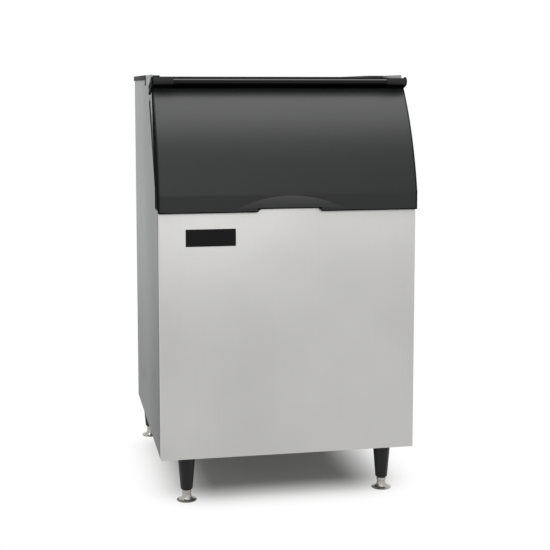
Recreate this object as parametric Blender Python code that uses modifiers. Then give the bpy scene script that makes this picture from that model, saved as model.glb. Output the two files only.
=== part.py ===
"""Ice storage bin: an insulated steel cabinet on levelling legs, with a lift-up door over its front.

Metres, +Z up, front towards -Y, the floor at zero height. Shapes are drawn as outlines in
depth (behind the front panel) and height (above the floor), then given their width.
The front panel stands at FRONT_Y, so that the origin is midway between front and back.
"""

import math

import bmesh
import bpy
from mathutils import Matrix, Vector

# Cabinet
CABINET_WIDTH = 0.762
CABINET_DEPTH = 0.7874
CABINET_HEIGHT = 1.1176
PANEL_CLEARANCE = 0.141
BASE_RECESS = 0.0114
SHEET = 0.0012
GAP = 0.0003
FOAM_WALL = 0.0362
LINER_WALL = 0.003
CUT_OVERRUN = 0.03

# Front panel, sill and badge
OPENING_HEIGHT = 0.3786
FRONT_RETURN = 0.018
PANEL_SEAM = 0.0006
SHOULDER_DROP = 0.012
BEND_RADIUS = 0.0022
SILL_LIP_RISE = 0.020
SILL_LIP_THICKNESS = 0.0074
BADGE_WIDTH = 0.1455
BADGE_HEIGHT = 0.0502
BADGE_THICKNESS = 0.0012
BADGE_SIDE_INSET = 0.0768
BADGE_DROP = 0.089

# Slanted opening: side panels' front edges and the plane that the door closes on
SIDE_SETBACK = 0.108
SLANT_START = 0.048
SLANT_ANGLE = math.radians(31.8)
SEAT_STAND = 0.036
EAR_GAP = 0.003

# Door
DOOR_SIDE_WALL = 0.0017
DOOR_BULGE = 0.0096
SKIRT_DROP = 0.0170
FACE_BAND = 0.0461
ROLL_RADIUS = 0.0367
ROLL_ANGLE = math.radians(13.0)
FACE_TOP_SETBACK = 0.0104
ROLL_STEPS = 3
FACE_STEPS = 14
DOOR_WALL = 0.0035
DOOR_UNDERSIDE_GAP = 0.0085
PAN_WALL = 0.003
PAN_RECESS = 0.0006
PAN_CORNER_HEIGHT = 0.110
PAN_CORNER_ANGLE = math.radians(14.3)
PAN_TIP = 0.003
GASKET_THICKNESS = 0.008
GASKET_WIDTH = 0.014
GASKET_EDGE = 0.007
GASKET_TOP_DROP = 0.0856

# Finger scoop and notch in the door's lower edge
SCOOP_RADIUS = 2.57
SCOOP_DEPTH = 0.0053
SCOOP_RISE = 0.049
SCOOP_WALL = 0.0022
SCOOP_SIDES = 720
NOTCH_HALF_WIDTH = 0.0870
NOTCH_RISE = 0.0085
NOTCH_CHAMFER = 0.0100

# Hinge rail, brackets and pins
AXIS_DEPTH = 0.127
AXIS_DROP = 0.0201
RAIL_DEPTH = 0.046
RAIL_HEIGHT = 0.021
RAIL_FRONT_RADIUS = 0.008
RAIL_BACK_RADIUS = 0.003
RAIL_LIFT = 0.0125
RAIL_WEB = 0.009
RAIL_WEB_INSET = 0.0036
RAIL_BACK_RISE = 0.0015
RAIL_CLEARANCE = 0.003
BRACKET_THICKNESS = 0.005
BRACKET_TOP_RADIUS = 0.0135
BRACKET_BOSS_RADIUS = 0.0145
BOSS_BACK = 0.079
BOSS_DROP = 0.026
PIN_RADIUS = 0.004
PIN_LENGTH = 0.026
BUSH_WALL = 0.0025
BUSH_LENGTH = 0.020
SCREW_RADIUS = 0.0025
SCREW_HEAD_RADIUS = 0.005
SCREW_HEAD_DEPTH = 0.0025
SCREW_NUT_RADIUS = 0.0045
SCREW_NUT_LENGTH = 0.004

# Header channel, lintel and top rim
HEADER_DEPTH = 0.208
HEADER_HEIGHT = 0.0216
RIM_HEIGHT = 0.015
RIM_WALL = 0.003
LINTEL_DROP = 0.1106
LINTEL_DEPTH = 0.0916

# Jambs and bumpers
BUMPER_RADIUS = 0.0032
BUMPER_RISE = 0.012

# Storage cavity
FLOOR_FOAM = 0.045
FLOOR_FALL = 0.012
DRAIN_BACK_INSET = 0.0874
FLAT_SUMP = 0.045

# Legs and levelling feet
FRONT_LEG_SIDE_INSET = 0.0810
FRONT_LEG_INSET = 0.0586
BACK_LEG_SIDE_INSET = 0.0395
BACK_LEG_INSET = 0.0300
LEG_TOP_RADIUS = 0.0268
LEG_FOOT_RADIUS = 0.0180
LEG_CHAMFER = 0.003
LEG_LIFT = 0.0340
LEG_BORE_DEPTH = 0.060
LEG_PLATE_SIZE = 0.056
LEG_PLATE_THICKNESS = 0.006
LEG_STUD_RADIUS = 0.006
FOOT_RADIUS = 0.030
FOOT_RIM = 0.0025
FOOT_DOME = 0.0185
FOOT_COLLAR_RADIUS = 0.0142
FOOT_STEM_RADIUS = 0.006
FOOT_STEM_LENGTH = 0.050
FOOT_CLEARANCE = 0.0005
THREAD_CLEARANCE = 0.0004

# Drain
DRAIN_FLANGE_RADIUS = 0.035
DRAIN_FLANGE = 0.0032
DRAIN_TUBE_RADIUS = 0.0165
DRAIN_BORE_RADIUS = 0.0105
DRAIN_DROP = 0.052
DRAIN_NUT_RADIUS = 0.027
DRAIN_NUT_HEIGHT = 0.012
STRAINER_RADIUS = 0.0235
STRAINER_THICKNESS = 0.002
STRAINER_HOLE_RADIUS = 0.003
STRAINER_HOLE_RING = 0.0140
STRAINER_HOLES = 8
STRAINER_SIDES = 24
STRAINER_KNOB_RADIUS = 0.0045
STRAINER_KNOB_HEIGHT = 0.008

# Ice baffle
BAFFLE_SIDE_GAP = 0.010
BAFFLE_STAND = 0.016
BAFFLE_DROP = 0.0936
BAFFLE_HEIGHT = 0.235
BAFFLE_THICKNESS = 0.003
BAFFLE_ROD_RADIUS = 0.004
BAFFLE_BRACKET_THICKNESS = 0.006
BAFFLE_BRACKET_DEPTH = 0.020
BAFFLE_BRACKET_HEIGHT = 0.028
BAFFLE_HOLE_CLEARANCE = 0.0003

# Scoop and its holder
HOLDER_DEPTH = 0.155
HOLDER_LENGTH = 0.112
HOLDER_WIDTH = 0.076
HOLDER_HEIGHT = 0.105
HOLDER_WALL = 0.0025
HOLDER_DROP = 0.100
BOWL_LENGTH = 0.150
BOWL_CLEARANCE = 0.003
BOWL_WALL = 0.0024
BOWL_CORNER = 0.012
HANDLE_LENGTH = 0.095
HANDLE_RADIUS = 0.010
HANDLE_ROUND = 0.003

# Finishes: edge rounding and roundness of turned pieces
SMALL_BEVEL = 0.0006
TURN_SIDES = 28
SMALL_SIDES = 16
HEX_SIDES = 6
CORNER_STEPS = 4
MERGE = 0.00001

# Places that follow from the sizes above
HALF_WIDTH = CABINET_WIDTH / 2
TOP = PANEL_CLEARANCE + CABINET_HEIGHT
SILL = TOP - OPENING_HEIGHT
SHOULDER = SILL - SHOULDER_DROP
SKIRT_BOTTOM = SILL - SKIRT_DROP
BASE = PANEL_CLEARANCE + BASE_RECESS
RIM_OVERHANG = RIM_WALL
FRONT_Y = (DOOR_BULGE - CABINET_DEPTH - RIM_OVERHANG) / 2
AXIS = TOP - AXIS_DROP
RAIL_SWING = math.hypot(RAIL_DEPTH / 2, RAIL_HEIGHT / 2)
EAR_FRONT = AXIS_DEPTH + RAIL_SWING + RAIL_CLEARANCE
HEADER_FRONT = EAR_FRONT + SHEET
HEADER_BACK = HEADER_FRONT + HEADER_DEPTH
HEADER_TOP = TOP - RIM_HEIGHT
HEADER_BOTTOM = HEADER_TOP - HEADER_HEIGHT
PANEL_INSIDE = HALF_WIDTH - SHEET
FOAM_OUTSIDE = PANEL_INSIDE - GAP
FOAM_INSIDE = FOAM_OUTSIDE - FOAM_WALL
LINER_OUTSIDE = FOAM_INSIDE - GAP
LINER_INSIDE = LINER_OUTSIDE - LINER_WALL
WALL = HALF_WIDTH - LINER_INSIDE
BACK_FOAM = CABINET_DEPTH - SHEET - GAP
LINER_BACK = CABINET_DEPTH - WALL + LINER_WALL
BASE_TOP = BASE + SHEET
FLOOR_FOAM_TOP = BASE_TOP + GAP + FLOOR_FOAM
FLOOR_TOP = FLOOR_FOAM_TOP + GAP + LINER_WALL
DRAIN_DEPTH = CABINET_DEPTH - DRAIN_BACK_INSET
RIM_SEAT = TOP - RIM_WALL - GAP
DOOR_TOP = AXIS - RAIL_HEIGHT / 2 - RAIL_LIFT
TOP_FALL = math.atan2(BOSS_DROP, BOSS_BACK)
BAND_TOP = SKIRT_BOTTOM + FACE_BAND
ROLL_END_DEPTH = ROLL_RADIUS * (1 - math.cos(ROLL_ANGLE)) - DOOR_BULGE
ROLL_END_HEIGHT = BAND_TOP + ROLL_RADIUS * math.sin(ROLL_ANGLE)
FACE_RUN = AXIS_DEPTH + FACE_TOP_SETBACK - ROLL_END_DEPTH
FACE_RISE = DOOR_TOP - ROLL_END_HEIGHT
FACE_LEAN = math.atan2(FACE_RUN, FACE_RISE) - ROLL_ANGLE
FACE_RADIUS = math.hypot(FACE_RUN, FACE_RISE) / 2 / math.sin(FACE_LEAN)
DOOR_INSIDE = HALF_WIDTH + GAP
DOOR_HALF_WIDTH = DOOR_INSIDE + DOOR_SIDE_WALL
BUMPER_LENGTH = GASKET_THICKNESS - 2 * GAP


def seat_depth(height, stand=0.0):
    """Depth of the plane that the door closes on, or of one that stands in front of it."""
    run = (height - SILL - SLANT_START) * math.tan(SLANT_ANGLE)
    return SIDE_SETBACK - SEAT_STAND + run - stand / math.cos(SLANT_ANGLE)


def edge_depth(height, inset=0.0):
    """Depth of the side panel's slanted front edge."""
    run = (height - SILL - SLANT_START) * math.tan(SLANT_ANGLE)
    return SIDE_SETBACK + run + inset / math.cos(SLANT_ANGLE)


def door_top_height(depth):
    """Height of the door's top wall, which falls towards the back under the brackets."""
    return DOOR_TOP - (depth - face_curve()[-1][0]) * math.tan(TOP_FALL)


def ear_line(stand=0.0):
    """Line just over the door's top wall, where the side panels' ears begin: a point and a direction."""
    front = face_curve()[-1]
    lift = (EAR_GAP + stand) / math.cos(TOP_FALL)
    return (front[0], front[1] + lift), (math.cos(TOP_FALL), -math.sin(TOP_FALL))


def ear_point(depth, stand=0.0):
    """Point of the ear line at a depth."""
    start, way = ear_line(stand)
    return (depth, start[1] + (depth - start[0]) * way[1] / way[0])


def ear_on_edge(stand=0.0, inset=0.0):
    """Point where the ear line meets the side panel's slanted front edge."""
    start, way = ear_line(stand)
    slant = (math.sin(SLANT_ANGLE), math.cos(SLANT_ANGLE))
    return meet(start, way, (edge_depth(SILL, inset), SILL), slant)


def ear_on_seat(stand=0.0):
    """Point where the ear line meets the plane that the door closes on."""
    start, way = ear_line(stand)
    slant = (math.sin(SLANT_ANGLE), math.cos(SLANT_ANGLE))
    return meet(start, way, (seat_depth(SILL), SILL), slant)


def face_curve(inset=0.0):
    """Points up the door's outer face: a plain band, a roll and one long arc to the rail."""
    points = [(inset - DOOR_BULGE, SKIRT_BOTTOM)]
    for step in range(ROLL_STEPS + 1):
        turn = ROLL_ANGLE * step / ROLL_STEPS
        radius = ROLL_RADIUS - inset
        depth = ROLL_RADIUS - DOOR_BULGE - radius * math.cos(turn)
        points.append((depth, BAND_TOP + radius * math.sin(turn)))
    centre_depth = ROLL_END_DEPTH + FACE_RADIUS * math.cos(ROLL_ANGLE)
    centre_height = ROLL_END_HEIGHT - FACE_RADIUS * math.sin(ROLL_ANGLE)
    for step in range(1, FACE_STEPS + 1):
        turn = ROLL_ANGLE + 2 * FACE_LEAN * step / FACE_STEPS
        radius = FACE_RADIUS - inset
        points.append((centre_depth - radius * math.cos(turn), centre_height + radius * math.sin(turn)))
    return points


def meet(first, first_way, second, second_way):
    """Point where two lines in an outline meet."""
    cross = first_way[0] * second_way[1] - first_way[1] * second_way[0]
    gap = (second[0] - first[0], second[1] - first[1])
    reach = (gap[0] * second_way[1] - gap[1] * second_way[0]) / cross
    return (first[0] + reach * first_way[0], first[1] + reach * first_way[1])


def rounded(corners, radii, steps=CORNER_STEPS):
    """Outline with each corner turned into an arc; a radius of zero keeps the corner."""
    points = []
    for index, corner in enumerate(corners):
        here = Vector(corner)
        before = Vector(corners[index - 1]) - here
        after = Vector(corners[(index + 1) % len(corners)]) - here
        radius = radii[index]
        half = before.angle(after) / 2
        if radius <= 0:
            points.append(tuple(here))
            continue
        reach = min(radius / math.tan(half), before.length / 2, after.length / 2)
        radius = reach * math.tan(half)
        middle = here + (before.normalized() + after.normalized()).normalized() * radius / math.sin(half)
        start = here + before.normalized() * reach - middle
        end = here + after.normalized() * reach - middle
        for step in range(steps + 1):
            share = step / steps
            turned_way = start.lerp(end, share).normalized() * radius
            points.append(tuple(middle + turned_way))
    return points


def circle_hull(first, first_radius, second, second_radius, steps=CORNER_STEPS):
    """Outline of a plate that wraps two round bosses, as a drop does."""
    way = Vector(second) - Vector(first)
    lean = math.asin((first_radius - second_radius) / way.length)
    turn = math.atan2(way.y, way.x)
    quarter = math.pi / 2
    points = []
    count = 3 * steps
    for centre, radius, start, sweep in (
        (first, first_radius, turn + quarter - lean, math.pi + 2 * lean),
        (second, second_radius, turn - quarter + lean, math.pi - 2 * lean),
    ):
        for step in range(count + 1):
            angle = start + sweep * step / count
            points.append((centre[0] + radius * math.cos(angle), centre[1] + radius * math.sin(angle)))
    return points


def make_finish(name, colour, roughness, metallic):
    """Principled material with one colour."""
    finish = bpy.data.materials.new(name)
    finish.use_nodes = True
    shader = finish.node_tree.nodes["Principled BSDF"]
    shader.inputs["Base Color"].default_value = (*colour, 1.0)
    shader.inputs["Roughness"].default_value = roughness
    shader.inputs["Metallic"].default_value = metallic
    finish.diffuse_color = (*colour, 1.0)
    return finish


def add_object(name, mesh, finish, location=(0, 0, 0), rotation=(0, 0, 0)):
    """Object in the part's collection, with its finish."""
    item = bpy.data.objects.new(name, mesh)
    item.location = location
    item.rotation_euler = rotation
    PARTS.objects.link(item)
    if finish is not None and not mesh.materials:
        mesh.materials.append(finish)
    return item


def as_cutter(item):
    """Moves an object to the cutters, which show as wire and don't render."""
    PARTS.objects.unlink(item)
    CUTTERS.objects.link(item)
    item.hide_render = True
    item.display_type = "WIRE"
    return item


def filled(name, outline, thickness, finish, location, rotation):
    """Solid plate from a flat outline: a filled 2D curve, extruded and made a mesh."""
    curve = bpy.data.curves.new(name, "CURVE")
    curve.dimensions = "2D"
    curve.fill_mode = "BOTH"
    curve.extrude = thickness / 2
    spline = curve.splines.new("POLY")
    spline.points.add(len(outline) - 1)
    for point, (across, up) in zip(spline.points, outline):
        point.co = (across, up, 0, 1)
    spline.use_cyclic_u = True
    drawn = bpy.data.objects.new(name, curve)
    drawn.location = location
    drawn.rotation_euler = rotation
    PARTS.objects.link(drawn)
    bpy.context.view_layer.update()
    mesh = bpy.data.meshes.new_from_object(drawn.evaluated_get(bpy.context.evaluated_depsgraph_get()))
    mesh.name = name
    shape = bmesh.new()
    shape.from_mesh(mesh)
    bmesh.ops.remove_doubles(shape, verts=shape.verts, dist=MERGE)
    bmesh.ops.recalc_face_normals(shape, faces=shape.faces)
    shape.to_mesh(mesh)
    shape.free()
    place = drawn.matrix_world.copy()
    bpy.data.objects.remove(drawn)
    bpy.data.curves.remove(curve)
    item = add_object(name, mesh, finish)
    item.matrix_world = place
    return item


def along_x(name, outline, low, high, finish):
    """Plate drawn in depth and height, from one place across the width to another."""
    place = ((low + high) / 2, FRONT_Y, 0)
    return filled(name, outline, abs(high - low), finish, place, (math.pi / 2, 0, math.pi / 2))


def along_z(name, outline, low, high, finish):
    """Plate drawn across the width and in depth, from one height to another."""
    return filled(name, outline, high - low, finish, (0, FRONT_Y, (low + high) / 2), (0, 0, 0))


def along_y(name, outline, near, far, finish):
    """Plate drawn across the width and in height, from one depth to another."""
    place = (0, FRONT_Y + (near + far) / 2, 0)
    return filled(name, outline, far - near, finish, place, (math.pi / 2, 0, 0))


def block(name, low, high, finish, edge=0.0):
    """Box between two corners (across, depth, height), with rounded edges where asked for."""
    mesh = bpy.data.meshes.new(name)
    size = [high[axis] - low[axis] for axis in range(3)]
    shape = bmesh.new()
    bmesh.ops.create_cube(shape, size=1)
    bmesh.ops.scale(shape, vec=size, verts=shape.verts)
    shape.to_mesh(mesh)
    shape.free()
    middle = [(high[axis] + low[axis]) / 2 for axis in range(3)]
    item = add_object(name, mesh, finish, (middle[0], FRONT_Y + middle[1], middle[2]))
    if edge > 0:
        soften(item, edge)
    return item


def soften(item, width, segments=2):
    """Rounds an object's sharp edges."""
    edge = item.modifiers.new("rounded edges", "BEVEL")
    edge.width = width
    edge.segments = segments
    edge.limit_method = "ANGLE"
    return edge


def turned(name, profile, finish, location, sides=TURN_SIDES, rotation=(0, 0, 0)):
    """Turned piece: a profile of (radius, height), down its outer side, spun about its axis."""
    mesh = bpy.data.meshes.new(name)
    shape = bmesh.new()
    corners = [shape.verts.new((radius, 0, height)) for radius, height in profile]
    for first, second in zip(corners, corners[1:]):
        shape.edges.new((first, second))
    if profile[0][0] > 0:
        shape.edges.new((corners[-1], corners[0]))
    shape.to_mesh(mesh)
    shape.free()
    item = add_object(name, mesh, finish, location, rotation)
    spin = item.modifiers.new("turned", "SCREW")
    spin.axis = "Z"
    spin.steps = sides
    spin.render_steps = sides
    spin.use_merge_vertices = True
    spin.merge_threshold = MERGE
    spin.use_smooth_shade = False
    return item


def rod(name, radius, low, high, finish, location, sides=TURN_SIDES, rotation=(0, 0, 0)):
    """Plain round bar along its own Z."""
    profile = [(0, high), (radius, high), (radius, low), (0, low)]
    return turned(name, profile, finish, location, sides, rotation)


def combine(item, tool, operation="DIFFERENCE"):
    """Boolean of an object with a cutter or a joined piece."""
    step = item.modifiers.new(operation.lower(), "BOOLEAN")
    step.operation = operation
    step.solver = "EXACT"
    step.object = tool
    if tool.name in PARTS.objects:
        as_cutter(tool)
    return item


def along_width(side):
    """Rotation that lays an object's own Z along the width, pointing away from the middle."""
    return (0, side * math.pi / 2, 0)


def ride_on(pivot, items):
    """Parents pieces to the empty on their joint's axis, and leaves them where they are."""
    bpy.context.view_layer.update()
    for item in items:
        item.parent = pivot
        item.matrix_parent_inverse = pivot.matrix_world.inverted()


def pivot_at(name, location):
    """Empty on a joint's axis."""
    pivot = bpy.data.objects.new(name, None)
    pivot.location = location
    pivot.empty_display_size = PIN_LENGTH
    PARTS.objects.link(pivot)
    return pivot


def side_name(side):
    """Name of a side as seen from the front."""
    return "left" if side < 0 else "right"


def wall_outline(front, bottom, top, low_top, back):
    """Side outline of a wall that follows the slanted opening."""
    return [
        (front, bottom),
        (front, SHOULDER),
        (SIDE_SETBACK, SHOULDER),
        (SIDE_SETBACK, SILL + SLANT_START),
        (edge_depth(low_top), low_top),
        (HEADER_BACK + GAP, low_top),
        (HEADER_BACK + GAP, top),
        (back, top),
        (back, bottom),
    ]


def build_shell_panels():
    """Outer sheet metal: side panels, back, front, base and the channel across the top."""
    panel_front = FRONT_RETURN + PANEL_SEAM
    for side in (-1, 1):
        outline = [
            (panel_front, PANEL_CLEARANCE),
            (panel_front, SHOULDER),
            (SIDE_SETBACK, SHOULDER),
            (SIDE_SETBACK, SILL + SLANT_START),
            ear_on_edge(),
            ear_point(EAR_FRONT),
            (EAR_FRONT, TOP),
            (HEADER_BACK, TOP),
            (HEADER_BACK, RIM_SEAT),
            (CABINET_DEPTH, RIM_SEAT),
            (CABINET_DEPTH, PANEL_CLEARANCE),
        ]
        name = f"side_panel_{side_name(side)}"
        panel = along_x(name, outline, side * PANEL_INSIDE, side * HALF_WIDTH, STEEL)
        hole = rod(
            f"cut_ear_{side_name(side)}", SCREW_RADIUS + GAP, -CUT_OVERRUN, CUT_OVERRUN, None,
            (side * HALF_WIDTH, FRONT_Y + AXIS_DEPTH + BOSS_BACK, AXIS - BOSS_DROP),
            SMALL_SIDES, along_width(side),
        )
        combine(panel, hole)

    block(
        "back_panel",
        (-PANEL_INSIDE + GAP, CABINET_DEPTH - SHEET, PANEL_CLEARANCE),
        (PANEL_INSIDE - GAP, CABINET_DEPTH, RIM_SEAT),
        STEEL,
    )

    inner = PANEL_INSIDE
    corners = [
        (-HALF_WIDTH, FRONT_RETURN),
        (-HALF_WIDTH, 0),
        (HALF_WIDTH, 0),
        (HALF_WIDTH, FRONT_RETURN),
        (inner, FRONT_RETURN),
        (inner, SHEET),
        (-inner, SHEET),
        (-inner, FRONT_RETURN),
    ]
    radii = [0, BEND_RADIUS, BEND_RADIUS, 0, 0, BEND_RADIUS - SHEET, BEND_RADIUS - SHEET, 0]
    along_z("front_panel", rounded(corners, radii), PANEL_CLEARANCE, SILL, STEEL)

    base = block(
        "base_pan",
        (-PANEL_INSIDE + GAP, SHEET + GAP, BASE),
        (PANEL_INSIDE - GAP, CABINET_DEPTH - SHEET - GAP, BASE_TOP),
        ZINC,
    )
    combine(base, drain_hole("cut_base_drain"))

    channel = [
        (HEADER_FRONT, HEADER_BOTTOM),
        (HEADER_FRONT, HEADER_TOP),
        (HEADER_BACK, HEADER_TOP),
        (HEADER_BACK, HEADER_BOTTOM),
        (HEADER_BACK - SHEET, HEADER_BOTTOM),
        (HEADER_BACK - SHEET, HEADER_TOP - SHEET),
        (HEADER_FRONT + SHEET, HEADER_TOP - SHEET),
        (HEADER_FRONT + SHEET, HEADER_BOTTOM),
    ]
    along_x("header_channel", channel, -PANEL_INSIDE + GAP, PANEL_INSIDE - GAP, STEEL)

    low = (
        -HALF_WIDTH + BADGE_SIDE_INSET,
        -BADGE_THICKNESS - GAP,
        SILL - BADGE_DROP - BADGE_HEIGHT / 2,
    )
    high = (low[0] + BADGE_WIDTH, -GAP, low[2] + BADGE_HEIGHT)
    block("badge_plate", low, high, BLACK_GLOSS)


def drain_hole(name):
    """Cutter for the drain tube's passage."""
    return rod(
        name, DRAIN_TUBE_RADIUS + GAP, BASE - DRAIN_DROP, FLOOR_TOP + CUT_OVERRUN, None,
        (0, FRONT_Y + DRAIN_DEPTH, 0),
    )


def floor_profile(height, front, back):
    """Top of the floor from front to back: it falls to a flat sump around the drain."""
    return [(front, height + FLOOR_FALL), (DRAIN_DEPTH - FLAT_SUMP, height), (back, height)]


def build_insulation_and_liner():
    """Foam slabs between the panels and the liner, and the liner tub itself."""
    for side in (-1, 1):
        outline = wall_outline(
            SHEET + GAP, BASE_TOP + GAP, RIM_SEAT - GAP, HEADER_BOTTOM - GAP, BACK_FOAM,
        )
        along_x(f"insulation_{side_name(side)}", outline, side * FOAM_INSIDE, side * FOAM_OUTSIDE, FOAM)

    reach = FOAM_INSIDE - GAP
    foam_front = SHEET + GAP
    front_back = foam_front + FOAM_WALL
    floor = [(front_back + GAP, BASE_TOP + GAP)]
    floor += floor_profile(FLOOR_FOAM_TOP, front_back + GAP, BACK_FOAM - FOAM_WALL - GAP)
    floor.append((BACK_FOAM - FOAM_WALL - GAP, BASE_TOP + GAP))
    slab = along_x("insulation_floor", floor, -reach, reach, FOAM)
    combine(slab, drain_hole("cut_foam_drain"))
    block("insulation_front", (-reach, foam_front, BASE_TOP + GAP), (reach, front_back, SHOULDER), FOAM)
    block(
        "insulation_back",
        (-reach, BACK_FOAM - FOAM_WALL, BASE_TOP + GAP),
        (reach, BACK_FOAM, RIM_SEAT - GAP),
        FOAM,
    )

    liner_front = front_back + GAP
    outer = wall_outline(
        liner_front, FLOOR_TOP - LINER_WALL, RIM_SEAT - GAP, HEADER_BOTTOM - GAP, LINER_BACK,
    )
    del outer[0]
    del outer[-1]
    floor_line = floor_profile(FLOOR_TOP - LINER_WALL, liner_front, LINER_BACK)
    outer = list(reversed(floor_line)) + outer
    liner = along_x("liner", outer, -LINER_OUTSIDE, LINER_OUTSIDE, LINER_WHITE)
    inner = floor_profile(FLOOR_TOP, liner_front + LINER_WALL, LINER_BACK - LINER_WALL)
    inner += [
        (LINER_BACK - LINER_WALL, TOP + CUT_OVERRUN),
        (liner_front + LINER_WALL, TOP + CUT_OVERRUN),
    ]
    combine(liner, along_x("cut_liner_cavity", inner, -LINER_INSIDE, LINER_INSIDE, None))
    combine(liner, drain_hole("cut_liner_drain"))


def build_opening_trim():
    """Sill, jambs, lintel, bumpers and the rim around the ice drop opening."""
    lip = SILL + SILL_LIP_RISE
    land = SHOULDER + GAP
    sill = [
        (SHEET + GAP, land),
        (SHEET + GAP, SILL),
        (seat_depth(SILL), SILL),
        (seat_depth(lip), lip),
        (seat_depth(lip) + SILL_LIP_THICKNESS, lip),
        (seat_depth(lip) + SILL_LIP_THICKNESS, land),
    ]
    jamb_inside = LINER_INSIDE + GAP
    cap = along_x("sill_cap", sill, -LINER_INSIDE, LINER_INSIDE, BLACK)
    strip = block(
        "join_sill_front",
        (-PANEL_INSIDE + GAP, SHEET + GAP, land),
        (PANEL_INSIDE - GAP, panel_return_end() - GAP, SILL),
        None,
    )
    combine(cap, strip, "UNION")

    for side in (-1, 1):
        jamb = [
            (panel_return_end(), land),
            (panel_return_end(), SILL),
            (seat_depth(SILL), SILL),
            ear_on_seat(-GAP),
            ear_on_edge(-GAP, -GAP),
            (SIDE_SETBACK - GAP, SILL + SLANT_START),
            (SIDE_SETBACK - GAP, land),
        ]
        along_x(f"jamb_{side_name(side)}", jamb, side * jamb_inside, side * HALF_WIDTH, BLACK)
        height = SILL + BUMPER_RISE
        across = side * (DOOR_HALF_WIDTH - DOOR_WALL - BUMPER_RADIUS)
        bumper = rod(
            f"door_bumper_{side_name(side)}", BUMPER_RADIUS, GAP, GAP + BUMPER_LENGTH, RUBBER,
            (across, FRONT_Y + seat_depth(height), height), SMALL_SIDES, (math.pi / 2 - SLANT_ANGLE, 0, 0),
        )
        soften(bumper, SMALL_BEVEL)

    face_low = TOP - LINTEL_DROP
    lintel_top = HEADER_BOTTOM - GAP
    lintel_back = seat_depth(face_low) + LINTEL_DEPTH
    head = [ear_point(HEADER_FRONT), (HEADER_FRONT, lintel_top)]
    section = [(seat_depth(face_low), face_low), ear_on_seat()] + head
    section += [(lintel_back, lintel_top), (lintel_back, face_low)]
    lintel = along_x("lintel", section, -LINER_INSIDE, LINER_INSIDE, BLACK)
    wing = [ear_on_edge(0, -GAP)] + head + [(edge_depth(lintel_top, -GAP), lintel_top)]
    wings = along_x("join_lintel_wings", wing, -PANEL_INSIDE + GAP, PANEL_INSIDE - GAP, None)
    combine(lintel, wings, "UNION")
    for side in (-1, 1):
        nut_room = rod(
            f"cut_nut_room_{side_name(side)}",
            SCREW_NUT_RADIUS + GAP, -SCREW_NUT_LENGTH - GAP, CUT_OVERRUN, None,
            (side * (PANEL_INSIDE - GAP), FRONT_Y + AXIS_DEPTH + BOSS_BACK, AXIS - BOSS_DROP),
            SMALL_SIDES, along_width(side),
        )
        combine(lintel, nut_room)

    rim_front = HEADER_BACK + GAP
    slot_bottom = TOP - RIM_HEIGHT - CUT_OVERRUN
    outside = HALF_WIDTH + RIM_OVERHANG
    frame = three_sides(outside, LINER_INSIDE - RIM_WALL, rim_front, RIM_OVERHANG, WALL + RIM_WALL)
    rim = along_z("top_rim", frame, TOP - RIM_HEIGHT, TOP, DARK_GREY)
    slot = three_sides(HALF_WIDTH + GAP, LINER_INSIDE - GAP, rim_front - CUT_OVERRUN, GAP, WALL + GAP)
    combine(rim, along_z("cut_rim_slot", slot, slot_bottom, TOP - RIM_WALL, None))


def three_sides(outside, inside, front, overhang, inset):
    """Plan of a frame around both sides and the back, open at the front."""
    back = CABINET_DEPTH + overhang
    inner_back = CABINET_DEPTH - inset
    return [
        (-outside, front),
        (-outside, back),
        (outside, back),
        (outside, front),
        (inside, front),
        (inside, inner_back),
        (-inside, inner_back),
        (-inside, front),
    ]


def panel_return_end():
    """Depth just behind the front panel's side returns."""
    return FRONT_RETURN + PANEL_SEAM + GAP


def build_hinge():
    """Brackets on the cabinet's ears, with the pins that carry the door's rail."""
    boss_depth = AXIS_DEPTH + BOSS_BACK
    boss_height = AXIS - BOSS_DROP
    for side in (-1, 1):
        near = HALF_WIDTH + GAP
        far = near + BRACKET_THICKNESS
        outline = circle_hull(
            (AXIS_DEPTH, AXIS), BRACKET_TOP_RADIUS, (boss_depth, boss_height), BRACKET_BOSS_RADIUS,
        )
        bracket = along_x(f"hinge_bracket_{side_name(side)}", outline, side * near, side * far, BLACK)
        pin_hole = rod(
            f"cut_bracket_pin_{side_name(side)}", PIN_RADIUS + GAP, -CUT_OVERRUN, CUT_OVERRUN, None,
            (side * far, FRONT_Y + AXIS_DEPTH, AXIS), SMALL_SIDES, along_width(side),
        )
        combine(bracket, pin_hole)
        head = SCREW_HEAD_RADIUS + GAP
        shank = SCREW_RADIUS + GAP
        screw_hole = turned(
            f"cut_bracket_screw_{side_name(side)}",
            [
                (0, CUT_OVERRUN),
                (head, CUT_OVERRUN),
                (head, -GAP),
                (shank, -SCREW_HEAD_DEPTH - GAP),
                (shank, -CUT_OVERRUN),
                (0, -CUT_OVERRUN),
            ],
            None, (side * far, FRONT_Y + boss_depth, boss_height), SMALL_SIDES, along_width(side),
        )
        combine(bracket, screw_hole)
        rod(
            f"hinge_pin_{side_name(side)}", PIN_RADIUS, -PIN_LENGTH, 0, NICKEL,
            (side * far, FRONT_Y + AXIS_DEPTH, AXIS), SMALL_SIDES, along_width(side),
        )
        nut_face = -BRACKET_THICKNESS - 2 * GAP - SHEET - GAP
        turned(
            f"bracket_screw_{side_name(side)}",
            [
                (0, 0),
                (SCREW_HEAD_RADIUS, 0),
                (SCREW_RADIUS, -SCREW_HEAD_DEPTH),
                (SCREW_RADIUS, nut_face),
                (SCREW_NUT_RADIUS, nut_face),
                (SCREW_NUT_RADIUS, nut_face - SCREW_NUT_LENGTH),
                (0, nut_face - SCREW_NUT_LENGTH),
            ],
            NICKEL, (side * far, FRONT_Y + boss_depth, boss_height), SMALL_SIDES, along_width(side),
        )


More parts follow.
